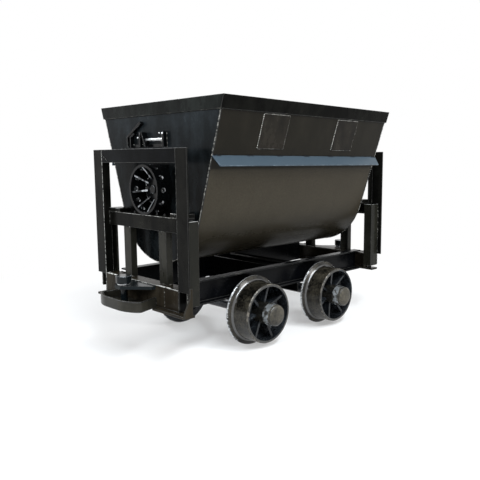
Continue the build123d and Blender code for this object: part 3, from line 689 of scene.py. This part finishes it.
@dataclass
class Bucket(SubAssembly):
    """The tipping bucket: shell, end walls, rim, strips, doublers and catches."""

    top_y: float = 0.494
    top_z: float = 1.216
    end_x: float = 0.626
    arc_radius: float = 0.327
    arc_z: float = 0.762
    arc_steps: int = 9
    tangent_y: float = 0.3106
    tangent_z: float = 0.6597
    rim_height: float = 0.06
    doubler_x: float = 0.276
    doubler_half: float = 0.088
    doubler_z: tuple[float, float] = (0.993, 1.15)
    strip_z: float = 0.956
    tack_spacing: float = 0.2
    tack_length: float = 0.045
    bar_x: float = 0.638
    bar_z: float = 1.037
    bar_radius: float = 0.007

    def section(self) -> list[Vector]:
        """Corners of the left half of the section's outline, from the top to the lowest point.

        Returns:
            Points in the plane x = 0.
        """
        points = [Vector((0, self.top_y, self.top_z)), Vector((0, self.tangent_y, self.tangent_z))]
        first = math.atan2(self.tangent_z - self.arc_z, self.tangent_y)
        for step in range(1, self.arc_steps + 1):
            angle = first + (-math.pi / 2 - first) * step / self.arc_steps
            y, z = self.arc_radius * math.cos(angle), self.arc_radius * math.sin(angle)
            points.append(Vector((0, y, self.arc_z + z)))
        return points

    def side_y(self, z: float) -> float:
        """Half width of the outer face at a height on the straight side."""
        slope = (self.top_y - self.tangent_y) / (self.top_z - self.tangent_z)
        return self.top_y - slope * (self.top_z - z)

    def build(self) -> None:
        """Dress the bucket's nodes and lay its welds."""
        self.line_inside(self.dress("bucket_shell", Dressing("side", "edge", 1.5)))
        for end, sign in ENDS:
            self.line_inside(self.dress(f"end_wall_{end}", Dressing("end", "edge", 1.5)))
            self.dress_catch(end, sign)
        rim = self.dress("rim", Dressing("rim", "rim_edge", 1.6))
        # Painted shade: the rim's faces that look to the long sides take a darker copy of its enamel.
        self.paint_faces(rim, "rim_side", lambda centre, normal: abs(normal.y) > FACING)
        for side, _ in SIDES:
            self.dress(f"drip_strip_{side}", Dressing("strip", "strip_edge", 1.0))
            self.dress(f"doublers_{side}", Dressing("doubler", "edge", 1.0))
        self.lay_corner_welds()
        for side, sign in SIDES:
            self.lay_plate_welds(side, sign)
        self.lay_rim_welds()

    def line_inside(self, piece: Piece) -> None:
        """Give the faces that look into the bucket the scuffed lining."""
        middle = Vector((0, 0, 0.95))
        self.paint_faces(piece, "lining", lambda centre, normal: normal.dot(middle - centre) > 0.05)

    def dress_catch(self, end: str, sign: float) -> None:
        """Dress a catch: dark hook and lugs, a round bar in bright steel that stands for its highlight, and
        its pins.

        Args:
            end: front or rear.
            sign: +1 at the front, -1 at the rear.
        """
        catch = self.dress(f"catch_{end}", Dressing("gear", "catch_edge", 1.0))

        def on_bar(centre: Vector, normal: Vector) -> bool:
            """Whether a face is on the round bar."""
            reach = math.hypot(abs(centre.x) - self.bar_x, centre.z - self.bar_z)
            return 0.003 < reach < self.bar_radius * 1.2 and abs(normal.y) < FACING

        # Painted highlight: the round bar is painted in bright polished steel.
        self.paint_faces(catch, "polished", on_bar)
        bm = bmesh.new()
        for x, y, z, size in (
            (0.648, 0.076, 1.064, 0.0055), (0.626, -0.165, 1.05, 0.006), (0.626, 0.02, 1.068, 0.004)
        ):
            outline = [(size, 0.0), (size * 0.94, size * 0.45), (size * 0.6, size * 0.8), (0.0, size * 0.95)]
            add_dome(bm, Vector((sign * x, sign * y, z)), Vector((sign, 0, 0)), outline, 14)
        self.add_piece(bm, f"catch_pins_{end}", "bucket", "polished")
        runs = (
            ((0.6485, 0.0705, 1.06), (0.6485, 0.0705, 1.004)),
            ((0.6275, 0.083, 1.072), (0.6275, 0.083, 1.002)),
            ((0.6325, -0.225, 1.0165), (0.6325, -0.19, 1.0165)),
            ((0.6325, -0.135, 1.0165), (0.6325, -0.07, 1.0165)),
        )
        self.lay_welds(f"catch_weld_{end}", "bucket", Weld("weld", 0.0024, 0.006), runs, sign, sign)

    def lay_corner_welds(self) -> None:
        """Weld the end walls to the shell, all round the section below the rim."""
        below_rim = self.rim_height / (self.top_z - self.tangent_z)
        for end, sign in ENDS:
            runs = []
            for _, side in SIDES:
                path = [Vector((sign * self.end_x, side * point.y, point.z)) for point in self.section()]
                path[0] = path[0].lerp(path[1], below_rim)
                runs.append(path)
            self.lay_welds(f"corner_weld_{end}", "bucket", Weld("weld", 0.003), runs)

    def lay_plate_welds(self, side: str, sign: float) -> None:
        """Weld a side's doublers all round, and tack and seam its strip along the top edge.

        Args:
            side: left or right.
            sign: +1 on the left, -1 on the right.
        """
        low, high = self.doubler_z
        half = self.doubler_half
        corners = ((-half, high), (half, high), (half, low), (-half, low), (-half, high))
        rounds = [
            [(middle + along, self.side_y(z) + 0.0015, z) for along, z in corners]
            for middle in (-self.doubler_x, self.doubler_x)
        ]
        bead = Weld("plate_weld", 0.003, 0.0085)
        self.lay_welds(f"doubler_weld_{side}", "bucket", bead, rounds, sign_y=sign)
        count = int(self.end_x / self.tack_spacing)
        y, z = self.side_y(self.strip_z), self.strip_z
        half_tack = self.tack_length / 2
        tacks = [
            [(middle * self.tack_spacing + end, y + 0.0035, z + 0.0015) for end in (-half_tack, half_tack)]
            for middle in range(-count, count + 1)
        ]
        self.lay_welds(f"strip_tacks_{side}", "bucket", Weld("tack", 0.0062, 0.009), tacks, sign_y=sign)
        seam = [(-self.end_x, y + 0.002, z), (self.end_x, y + 0.002, z)]
        self.lay_welds(f"strip_seam_{side}", "bucket", Weld("tack", 0.0032, 0.007), [seam], sign_y=sign)

    def lay_rim_welds(self) -> None:
        """Run a fillet under the rim on all four sides."""
        z = self.top_z - self.rim_height - 0.0005
        y = self.side_y(z) + 0.0025
        x = self.end_x + 0.0015
        runs = []
        for _, sign in ENDS:
            runs.append([(-self.end_x, sign * y, z), (self.end_x, sign * y, z)])
            runs.append([(sign * x, -y, z), (sign * x, y, z)])
        self.lay_welds("rim_weld", "bucket", Weld("fillet", 0.0026, 0.006), runs)


@dataclass
class RollGear(SubAssembly):
    """Roll rings, buttons, studded rails with their stops, and their struts."""

    roll_z: float = 0.7983
    ring_inner: float = 0.108
    ring_radius: float = 0.12
    disc_radius: float = 0.071
    disc_x: float = 0.65
    end_x: float = 0.626
    hole_x: float = 0.682
    rail_front_x: float = 0.716
    rail_top_z: float = 0.678
    stop_top_z: float = 0.698
    weld_steps: int = 36

    def build(self) -> None:
        """Dress the rings, buttons, rails, stops, studs and struts."""
        for end, sign in ENDS:
            self.dress_ring(end, sign)
            self.dress(f"roll_button_{end}", Dressing("gear", "gear_edge", 2.0, "bare_steel"))
            for node, edge_mm, worn, top_z in (
                ("roll_rail", 1.8, "dotted_edge", self.rail_top_z),
                ("rail_stops", 2.2, "bright_edge", self.stop_top_z),
            ):
                line = partial(runs_across, self.rail_front_x, top_z)
                self.dress(f"{node}_{end}", Dressing("rail", "edge", edge_mm, worn=worn, worn_edges=line))
            self.dress(f"rail_studs_{end}", Dressing("stud", None, 1.0, "bare_steel"))
        for corner, _, _ in CORNERS:
            self.dress(f"rail_strut_{corner}", Dressing("strut", "edge", 1.5))
        self.lay_rail_welds()

    def dress_ring(self, end: str, sign: float) -> None:
        """Dress a roll ring: black wall, rubbed rib edges with a painted highlight, hole walls painted bright
        for the light seen through the holes, and its welds with painted glints.

        Args:
            end: front or rear.
            sign: +1 at the front, -1 at the rear.
        """
        ring = self.dress(f"roll_ring_{end}", Dressing("gear", "gear_edge", 1.4))

        def reach_of(centre: Vector) -> float:
            """Distance of a point from the ring's axis."""
            return math.hypot(centre.y, centre.z - self.roll_z)

        def in_hole(centre: Vector, normal: Vector) -> bool:
            """Whether a face is on the wall of one of the holes."""
            radial = Vector((0, centre.y, centre.z - self.roll_z)).normalized()
            near = self.ring_inner < reach_of(centre) < self.ring_radius
            return near and abs(abs(centre.x) - self.hole_x) < 0.0135 and abs(normal.dot(radial)) < 0.4

        def on_rib(centre: Vector, normal: Vector) -> bool:
            """Whether a face is on the front edge of a rib."""
            inside = self.disc_radius * 0.6 < reach_of(centre) < self.ring_inner - 0.004
            return inside and abs(centre.x) > self.disc_x + 0.003 and abs(normal.x) > 0.4

        # Painted light: the hole walls are painted bright for the light seen through the holes, and the ribs'
        # front edges take a painted highlight.
        self.paint_faces(ring, "hole_steel", in_hole)
        self.paint_faces(ring, "rib_edge", on_rib)
        turns = [math.tau * step / self.weld_steps for step in range(self.weld_steps + 1)]
        runs = [
            [(x, reach * math.cos(turn), self.roll_z + reach * math.sin(turn)) for turn in turns]
            for reach, x in ((self.ring_inner - 0.0015, self.end_x + 0.0015), (self.disc_radius, self.disc_x))
        ]
        # The ring welds are painted near white for their glints.
        self.lay_welds(f"ring_weld_{end}", "bucket", Weld("ring_weld", 0.0026, 0.0085), runs, sign)

    def lay_rail_welds(self) -> None:
        """Weld the struts to beam and rail, and the rails to the portal posts."""
        runs = (
            ((0.7172, 0.121, 0.361), (0.7172, 0.179, 0.361)),
            ((0.684, 0.1185, 0.361), (0.716, 0.1185, 0.361)),
            ((0.684, 0.1815, 0.361), (0.716, 0.1815, 0.361)),
            ((0.717, 0.122, 0.61), (0.717, 0.178, 0.61)),
            ((0.7172, 0.3088, 0.612), (0.7172, 0.3088, 0.676)),
            ((0.7172, 0.216, 0.6788), (0.7172, 0.309, 0.6788)),
        )
        for corner, sign_x, sign_y in CORNERS:
            self.lay_welds(f"rail_weld_{corner}", "frame", Weld("frame_weld"), runs, sign_x, sign_y)


@dataclass
class Chassis(SubAssembly):
    """Sills, cross members, end beams, posts, bars and axle boxes."""

    portal_x: float = 0.75
    heel_y: float = 0.31
    beam_top_z: float = 0.36
    post_top_z: float = 0.67
    axle_x: float = 0.275
    bolt_spread: float = 0.042
    bolt_y: float = 0.261
    bolt_z: float = 0.266

    def build(self) -> None:
        """Dress the frame's nodes, weld its joints and bolt its axle boxes."""
        for side, _ in SIDES:
            self.dress(f"sill_{side}", Dressing("sill"))
        top = partial(runs_across, self.portal_x, self.beam_top_z)
        # The beam's top front edge takes a light rubbed finish: struck wear and a painted highlight.
        beam = Dressing("beam", worn="bright_edge", worn_edges=top)
        for end, _ in ENDS:
            self.dress(f"cross_member_{end}", Dressing("cross", "edge", 1.5))
            self.dress(f"end_beam_{end}", beam)
            self.dress(f"portal_bar_{end}", Dressing("bar", "edge", 1.8))
        post = Dressing("frame", "edge", 1.8, worn="dotted_edge", worn_edges=self.on_post_line)
        short = Dressing("post", "edge", 1.8, worn="bright_edge", worn_edges=self.on_post_top)
        for corner, _, _ in CORNERS:
            self.dress(f"portal_post_{corner}", post)
            self.dress(f"short_post_{corner}", short)
            self.dress(f"axle_box_{corner}", Dressing("sill"))
        self.lay_frame_welds()
        self.bolt_axle_boxes()

    def on_post_line(self, first: Vector, second: Vector) -> bool:
        """Whether an edge is a portal post's heel or the back edge of its return."""
        upright = abs(first.x - second.x) < NEAR and abs(first.y - second.y) < NEAR
        return upright and abs(abs(first.y) - self.heel_y) < NEAR and abs(first.z - second.z) > 0.1

    def on_post_top(self, first: Vector, second: Vector) -> bool:
        """Whether an edge is on the top of a short post."""
        return min(first.z, second.z) > self.post_top_z - NEAR

    def lay_frame_welds(self) -> None:
        """Weld the posts, sills, cross members and bars, and add what repairs and knocks left."""
        joints = (
            ((0.708, 0.309, 0.3612), (0.7485, 0.309, 0.3612)),
            ((0.741, 0.366, 0.288), (0.741, 0.366, 0.668)),
            ((0.6815, 0.234, 0.3612), (0.6815, 0.278, 0.3612)),
            ((0.037, 0.2305, 0.3765), (0.088, 0.2305, 0.3765)),
            ((0.741, 0.309, 0.9255), (0.741, 0.309, 0.983)),
            ((0.692, 0.3088, 0.983), (0.741, 0.3088, 0.983)),
        )
        for corner, sign_x, sign_y in CORNERS:
            self.lay_welds(f"frame_weld_{corner}", "frame", Weld("frame_weld"), joints, sign_x, sign_y)
        # One corner of each portal has a repair bead across the bar, and the beam one beside the bumper.
        repairs = (
            ((0.7508, -0.306, 0.968), (0.7508, -0.246, 0.929)),
            ((0.7508, 0.205, 0.345), (0.7508, 0.205, 0.268)),
        )
        # Where the coupling is knocked about, the beam's top edge is bright.
        struck = (
            ((0.749, -0.29, 0.3605), (0.749, -0.205, 0.3605)), ((0.749, 0.16, 0.3605), (0.749, 0.25, 0.3605))
        )
        for end, sign in ENDS:
            self.lay_welds(f"repair_weld_{end}", "frame", Weld("frame_weld", 0.0024), repairs, sign, sign)
            self.lay_welds(f"struck_edge_{end}", "frame", Weld("struck", 0.0042, 0.006), struck, sign, sign)

    def bolt_axle_boxes(self) -> None:
        """Bolt the axle boxes up to the lower flanges of the sills."""
        for side, sign in SIDES:
            bm = bmesh.new()
            for middle in (-self.axle_x, self.axle_x):
                for offset in (-self.bolt_spread, self.bolt_spread):
                    add_bolt(bm, Vector((middle + offset, sign * self.bolt_y, self.bolt_z)))
            self.add_piece(bm, f"axle_box_bolts_{side}", "frame", "bolt")


@dataclass
class Coupling(SubAssembly):
    """Bumpers, coupler plates and coupling pins."""

    collar_z: tuple[float, float] = (0.3562, 0.364)

    def build(self) -> None:
        """Dress the coupling at both ends, and weld its root to the beam."""
        low, high = self.collar_z
        root = (
            ((0.7515, -0.134, 0.357), (0.7515, 0.134, 0.357)),
            ((0.7515, -0.137, 0.26), (0.7515, -0.137, 0.301)),
            ((0.7515, 0.137, 0.26), (0.7515, 0.137, 0.301)),
        )
        for end, sign in ENDS:
            self.dress(f"bumper_{end}", Dressing("bumper", "edge", 4.0, segments=3))
            self.dress(f"coupler_plate_{end}", Dressing("plate", "edge", 1.5))
            pin = self.dress(f"coupling_pin_{end}", Dressing("pin", "gear_edge", 2.5, "bare_steel", 3))
            self.paint_faces(pin, "polished", lambda centre, normal: low < centre.z < high)
            weld = Weld("frame_weld", 0.0035, 0.007)
            self.lay_welds(f"coupling_weld_{end}", "frame", weld, root, sign, sign)


@dataclass
class Wheelset(SubAssembly):
    """Two flanged wheels on their axle, each with a domed hub cap."""

    axle_x: float = 0.275
    axle_z: float = 0.178
    cap_y: float = 0.468
    cap_radius: float = 0.0525
    land_radius: float = 0.1755
    tread_radius: float = 0.1475
    barrel_radius: float = 0.137
    face_y: float = 0.4085
    root_radius: float = 0.155
    root_y: float = 0.309
    root_near: float = 0.8 * MM
    root_mm: float = 8.0
    hub_y: float = 0.345

    def build(self) -> None:
        """Dress both wheelsets."""
        wear = Dressing("wheel", None, 1.6, worn="root", worn_edges=self.at_root, worn_mm=self.root_mm)
        for end, sign in ENDS:
            self.dress(f"axle_{end}", Dressing("wheel", None, 2.0))
            for side, sign_y in SIDES:
                self.paint_wheel(self.dress(f"wheel_{end}_{side}", wear), sign * self.axle_x)
                seat = Vector((sign * self.axle_x, sign_y * self.cap_y, self.axle_z))
                self.add_cap(f"hub_cap_{end}_{side}", f"wheelset_{end}", seat, Vector((0, sign_y, 0)))

    def at_root(self, first: Vector, second: Vector) -> bool:
        """Whether an edge is on the corner between a wheel's flange and its tread."""
        return all(
            abs(math.hypot(abs(end.x) - self.axle_x, end.z - self.axle_z) - self.root_radius) < self.root_near
            and abs(abs(end.y) - self.root_y) < self.root_near
            for end in (first, second)
        )

    def paint_wheel(self, wheel: Piece, centre_x: float) -> None:
        """Give the tread, the rim's face, the flange and the hub their own finishes.

        Args:
            wheel: the dressed wheel.
            centre_x: place of its axle along the track.
        """

        def on_face(reach: float, out: float, normal: Vector) -> bool:
            """Whether a face is on the flat face of the rim."""
            inside = self.barrel_radius - 0.001 < reach < self.tread_radius + 0.0015
            return inside and out > self.face_y - 0.002 and abs(normal.y) > FACING

        for finish, test in (
            ("tread", lambda reach, out, normal: self.tread_radius < reach and out < self.face_y),
            ("wheel_edge", on_face),
            # Painted highlight: the flange's outer land is painted light steel along its rim.
            ("flange_land", lambda reach, out, normal: reach > self.land_radius),
            ("hub", lambda reach, out, normal: reach < self.cap_radius + 0.004 and out > self.hub_y),
        ):

            def worn(centre: Vector, normal: Vector) -> bool:
                """Test a face by its distances from the axle and from the middle of the cart."""
                reach = math.hypot(centre.x - centre_x, centre.z - self.axle_z)
                return test(reach, abs(centre.y), normal)

            self.paint_faces(wheel, finish, worn)

    def add_cap(self, name: str, body: str, seat: Vector, outward: Vector) -> None:
        """Add the domed cap over the end of a hub.

        Args:
            name: the cap's name.
            body: the wheelset that it turns with.
            seat: the centre of its rim.
            outward: direction away from the wheel.
        """
        rim = self.cap_radius
        outline = [(0.0505, -0.05), (rim + 0.0034, -0.05), (rim + 0.003, -0.046), (rim + 0.0008, -0.014)]
        outline += [(0.0524, -0.0075), (0.0498, -0.0015), (0.045, 0.0028), (0.038, 0.0056)]
        outline += [(0.027, 0.0079), (0.014, 0.0092), (0.0, 0.0096)]
        bm = bmesh.new()
        add_dome(bm, seat, outward, outline, 48)
        cap = self.add_piece(bm, name, body, "cap", 50.0)
        # Painted highlight: the skirt behind the cap takes light steel for the highlight on the hub's barrel.
        self.paint_faces(cap, "hub_band", lambda centre, normal: abs(centre.y) < self.cap_y - 0.012)


# Studio


@dataclass(frozen=True)
class Lamp:
    """A rectangular soft lamp: place, length and width, watts, linear colour and roll in degrees."""

    name: str
    place: tuple[float, float, float]
    size: tuple[float, float]
    power: float
    colour: tuple[float, float, float]
    roll: float = 0.0

    def hang(self) -> None:
        """Hang the lamp so that it looks at the cart."""
        data = bpy.data.lights.new(self.name, "AREA")
        data.shape = "RECTANGLE"
        data.size, data.size_y = self.size
        data.energy = self.power
        data.color = self.colour
        lamp = bpy.data.objects.new(self.name, data)
        lamp.location = self.place
        aim = Vector((0, 0, 0.6)) - Vector(self.place)
        turn = Matrix.Rotation(math.radians(self.roll), 3, "Z")
        lamp.rotation_euler = (aim.to_track_quat("-Z", "Y").to_matrix() @ turn).to_euler()
        bpy.context.scene.collection.objects.link(lamp)


LAMPS = (
    Lamp("key", (-1.0, 4.4, 3.3), (1.6, 1.6), 100.0, (1.0, 0.99, 0.975)),
    # A long strip lamp draws bands of light along the curved flanges and hubs.
    Lamp("strip", (0.75, 2.95, 4.1), (4.4, 0.6), 175.0, (0.9, 0.96, 1.0), 37.0),
    Lamp("far_side", (1.0, -3.4, 3.9), (1.6, 1.6), 80.0, (0.92, 0.96, 1.0)),
    Lamp("sky", (0.0, 0.0, 5.2), (3.0, 3.0), 60.0, (0.95, 0.98, 1.0)),
    Lamp("end_fill", (4.6, 0.4, 2.4), (1.6, 1.6), 90.0, (0.94, 0.97, 1.0)),
)


@dataclass(frozen=True)
class Studio:
    """White floor and backdrop, soft lamps, and the camera of the photograph."""

    camera_place: tuple[float, float, float] = (2.2309, 2.3431, 0.932)
    yaw: float = 0.74872
    pitch: float = 0.12864
    focal_pixels: float = 564.95
    centre_pixels: tuple[float, float] = (286.04, 234.61)
    white: Colour = (1.0, 1.0, 1.0, 1.0)

    def build(self) -> None:
        """Make the world, the floor, the lamps and the camera."""
        self.make_world()
        self.make_floor()
        for lamp in LAMPS:
            lamp.hang()
        self.make_camera()

    def seen_rays(self, node: AddNode) -> bpy.types.Node:
        """Add nodes that give one for camera, glossy and transmission rays.

        Args:
            node: adds a node to the tree.

        Returns:
            The last node.
        """
        rays = node("ShaderNodeLightPath").outputs
        seen = node(
            "ShaderNodeMath", {0: rays["Is Camera Ray"], 1: rays["Is Glossy Ray"]}, operation="MAXIMUM"
        )
        return node("ShaderNodeMath", {0: seen, 1: rays["Is Transmission Ray"]}, operation="MAXIMUM")

    def make_world(self) -> None:
        """White for the camera and for reflections, a plain level for the rest."""
        world = bpy.data.worlds.new("studio_world")
        bpy.context.scene.world = world
        node = empty_tree(world)
        plain = node("ShaderNodeBackground", {"Color": self.white, "Strength": 0.4})
        bright = node("ShaderNodeBackground", {"Color": self.white, "Strength": 1.0})
        mixed = node("ShaderNodeMixShader", {0: self.seen_rays(node), 1: plain, 2: bright})
        node("ShaderNodeOutputWorld", {"Surface": mixed})

    def make_floor(self) -> None:
        """A large pale floor that fades into the white behind it."""
        bm = bmesh.new()
        bmesh.ops.create_grid(bm, x_segments=2, y_segments=2, size=40.0)
        floor = finish_mesh(bm, "studio_floor")
        material = bpy.data.materials.new("matt_white_floor")
        node = empty_tree(material)
        coords = node("ShaderNodeTexCoord").outputs["Object"]
        distance = node("ShaderNodeVectorMath", {0: coords}, operation="LENGTH").outputs["Value"]
        far = node(
            "ShaderNodeMapRange",
            {"Value": distance, "From Min": 1.1, "From Max": 2.4, "To Min": 0.35},
            interpolation_type="SMOOTHSTEP",
        )
        share = node("ShaderNodeMath", {0: far, 1: self.seen_rays(node)}, operation="MULTIPLY")
        coat = node("ShaderNodeBsdfDiffuse", {"Color": (0.92, 0.92, 0.92, 1.0), "Roughness": 0.5})
        glow = node("ShaderNodeEmission", {"Color": self.white, "Strength": 1.0})
        mixed = node("ShaderNodeMixShader", {0: share, 1: coat, 2: glow})
        node("ShaderNodeOutputMaterial", {"Surface": mixed})
        floor.data.materials.append(material)

    def make_camera(self) -> None:
        """Stand the camera where the photograph was taken from."""
        data = bpy.data.cameras.new("photo_camera")
        data.sensor_fit = "HORIZONTAL"
        data.sensor_width = SENSOR_MM
        data.lens = self.focal_pixels / IMAGE_PIXELS * SENSOR_MM
        data.shift_x = (IMAGE_PIXELS / 2 - self.centre_pixels[0]) / IMAGE_PIXELS
        data.shift_y = (self.centre_pixels[1] - IMAGE_PIXELS / 2) / IMAGE_PIXELS
        data.clip_end = 200.0
        camera = bpy.data.objects.new("photo_camera", data)
        camera.location = self.camera_place
        camera.rotation_euler = (math.pi / 2 - self.pitch, 0.0, math.pi / 2 + self.yaw)
        bpy.context.scene.collection.objects.link(camera)
        bpy.context.scene.camera = camera


def make_paints() -> dict[str, Material]:
    """Mix every finish of the cart.

    Returns:
        The materials by a short name.
    """
    clean, scuffed = Grime.CLEAN, Grime.SCUFFED
    # Painted reflection: a lighter band in the dust colour on the side below the strip, down to the bend. It
    # stops just under the strip and leaves a darker band of painted shade there.
    side_sheen_band = SheenBand(0.22, (0.46, 0.74), (0.885, 0.907))
    # On the upper end wall, a cool lighter band: a painted reflection of the sky.
    end_sheen_band = SheenBand(0.08, (0.86, 1.16))
    recipes = {
        # The bucket is one black enamel. The long side and its doublers take a lighter, warmer copy of it as
        # painted light and floor reflection; the end walls take a darker, cooler copy as painted shade.
        "side": Enamel(
            "black_enamel_long_side_painted_lit", "191712", "6a6253", 0.24, 0.08, clean, 160.0, side_sheen_band,
            gloss_rise=(0.44, 0.68),
        ),
        "doubler": Enamel("black_enamel_doubler_painted_lit", "171512", "5a5347", 0.24, 0.08),
        "end": Enamel("black_enamel_end_wall_painted_shade", "050606", "566067", 0.2, 0.06, film=end_sheen_band),
        "rim": Enamel("black_enamel_rim_bar", "0a0c0b", "4e5552", 0.24, 0.07),
        "rim_side": Enamel("black_enamel_rim_long_bar_painted_shade", "060605", "3a3a35", 0.24, 0.04),
        "frame": Enamel("black_enamel_frame", "0a0a09", "42413b", 0.2, 0.05),
        # Painted shade: the portal bar takes a darker, cooler copy of the frame's black enamel.
        "bar": Enamel("black_enamel_portal_bar_painted_shade", "040506", "2d2f34", 0.2, 0.045),
        "rail": Enamel("black_enamel_roll_rail", "080807", "45443d", 0.22, 0.045),
        # Painted light: the end beam takes a lighter, warmer copy of the frame's black enamel for its lit
        # front.
        "beam": Enamel("black_enamel_end_beam_painted_lit", "201c16", "6b6353", 0.26, 0.045),
        "sill": Enamel("black_enamel_sill", "06070a", "2b2b28", 0.22, 0.08),
        "cross": Enamel("black_primer_cross_member", "060606", "1d1d1b", 0.7, 0.0, clean),
        # Painted light: the struts, short posts and bumpers take lighter, warmer copies of the frame's black
        # enamel for their lit faces.
        "strut": Enamel("black_enamel_strut_painted_lit", "1e1e1a", "5c594e", 0.26, 0.12),
        "post": Enamel("black_enamel_short_post_painted_lit", "1a1a16", "57554a", 0.26, 0.12),
        "bumper": Enamel("black_enamel_bumper_painted_lit", "22211d", "6b6759", 0.3, 0.15),
        # Painted reflection: the coupler plate's blue tint is the sky reflected in its black enamel.
        "plate": Enamel("black_enamel_coupler_plate_painted_sky_reflection", "12181b", "4a4f52", 0.2, 0.1),
        "gear": Enamel("black_enamel_roll_ring", "060708", "2f3132", 0.16, 0.2, clean),
        # The drip strip's slate blue, on its rubbed edge too, is a painted reflection of the sky on black
        # enamel.
        "strip": Enamel("drip_strip_painted_sky_reflection", "35444f", "6f808c", 0.34, 0.3, clean),
        "lining": Enamel(
            "scuffed_enamel_lining", "24221e", "655f52", 0.42, 0.25, scuffed, 70.0, chip_share=0.9
        ),
        # Painted reflection: the pin's blue tint is the sky reflected in its black enamel.
        "pin": Enamel("black_enamel_pin_painted_sky_reflection", "0e1417", "3b4144", 0.16, 0.25, clean),
        "bolt": Enamel("black_enamel_bolt", "121212", "4c4a44", 0.28, 0.25),
        "wheel": CastEnamel("black_enamel_cast_iron", "0f1114", "5b6269", 0.15, 0.3, 0.3),
        # The tread's warm dust is partly a painted reflection of the floor.
        "tread": CastEnamel("black_enamel_tread_painted_floor_reflection", "0a0a09", "7f7868", 0.16, 0.3, 0.22),
        "hub": CastEnamel("black_enamel_hub", "131312", "6f6859", 0.2, 0.8, 0.14),
        "cap": CastEnamel("dusty_enamel_cap", "24231f", "7a7364", 0.4, 0.3, 0.42),
        # The rubbed edges are lighter partly from wear and partly as a painted highlight along each edge.
        "edge": RubbedEdge("rubbed_enamel_edge_painted_highlight", "191918", "5c5b56", 0.3),
        "rim_edge": RubbedEdge("rubbed_rim_edge_painted_highlight", "1c1c1b", "77766f", 0.35),
        "gear_edge": RubbedEdge("rubbed_ring_edge_painted_highlight", "15171a", "9aa0a5", 0.62, 0.26),
        "rib_edge": RubbedEdge("rib_edge_painted_highlight", "1b1d20", "b9bdc1", 0.55, 0.24, 34.0),
        "catch_edge": RubbedEdge("rubbed_catch_edge_painted_highlight", "2a2d2f", "a9adaf", 0.6, 0.3, 16.0),
        "dotted_edge": RubbedEdge("dotted_heel_edge_painted_highlight", "262624", "b3b3af", 0.7, 0.3, 12.0),
        "bright_edge": RubbedEdge("struck_enamel_edge_painted_highlight", "2f302f", "bcbdbb", 0.8, 0.3, 26.0),
        "strip_edge": RubbedEdge("rubbed_strip_edge_painted_sky_reflection", "3d4954", "8896a1", 0.5),
        "root": CastEnamel("wet_enamel_flange_root", "08090a", "4b463c", 0.17, 1.5, 0.05),
        "wheel_edge": RubbedEdge("rubbed_wheel_face", "2c2a26", "77726a", 0.55, 0.34, 24.0),
        "weld": WornSteel("weld_bead_steel", "b4b3ad", "1d1c1a", 0.6, 0.4, 11.0),
        "plate_weld": WornSteel("doubler_weld_steel", "d2d1cb", "1d1c1a", 0.35, 0.38, 10.0),
        "frame_weld": WornSteel("frame_weld_steel", "a9a8a2", "171716", 0.75, 0.38, 12.0),
        "ring_weld": WornSteel("ring_weld_steel_painted_glint", "dfe1e3", "131414", 0.6, 0.3, 12.0, (0.2, 0.0)),
        "tack": WornSteel("blued_tack_weld", "3b4c5b", "10151a", 0.9, 0.34, 12.0),
        "fillet": WornSteel("weld_fillet_steel", "6d6c66", "1a1a18", 0.9, 0.45, 20.0),
        "stud": WornSteel("rubbed_peg_steel", "84868a", "1c1c1b", 0.9, 0.34, 14.0),
        "hole_steel": WornSteel("hole_wall_painted_light", "dcdfe2", "17181a", 0.7, 0.3, 16.0, (0.4, 0.0)),
        "hub_band": WornSteel("hub_band_painted_highlight", "c4cace", "2b2a27", 0.55, 0.34, 24.0),
        "struck": WornSteel("struck_bright_steel", "d8d9d6", "45443f", 0.35, 0.4, 16.0),
        "polished": WornSteel("hand_polished_steel_and_painted_highlight", "dfe1e3", "8b8e90", 0.15, 0.26, 20.0),
        "flange_land": WornSteel("flange_rim_painted_highlight", "d6d9dc", "35332f", 0.4, 0.3, 10.0, (0.6, 0.0)),
    }
    return {name: recipe.build() for name, recipe in recipes.items()}


def main() -> None:
    """Load the frame, dress every sub-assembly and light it."""
    logging.basicConfig(level=logging.INFO, format="%(name)s: %(message)s")
    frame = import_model()
    bodies = {node: body for body, nodes in frame["record"]["behaviour"]["bodies"].items() for node in nodes}
    bpy.context.scene.view_settings.view_transform = "Standard"
    paints = make_paints()
    Studio().build()
    for kind in (Bucket, RollGear, Chassis, Coupling, Wheelset):
        kind(frame, bodies, paints).build()


if __name__ == "__main__":
    main()
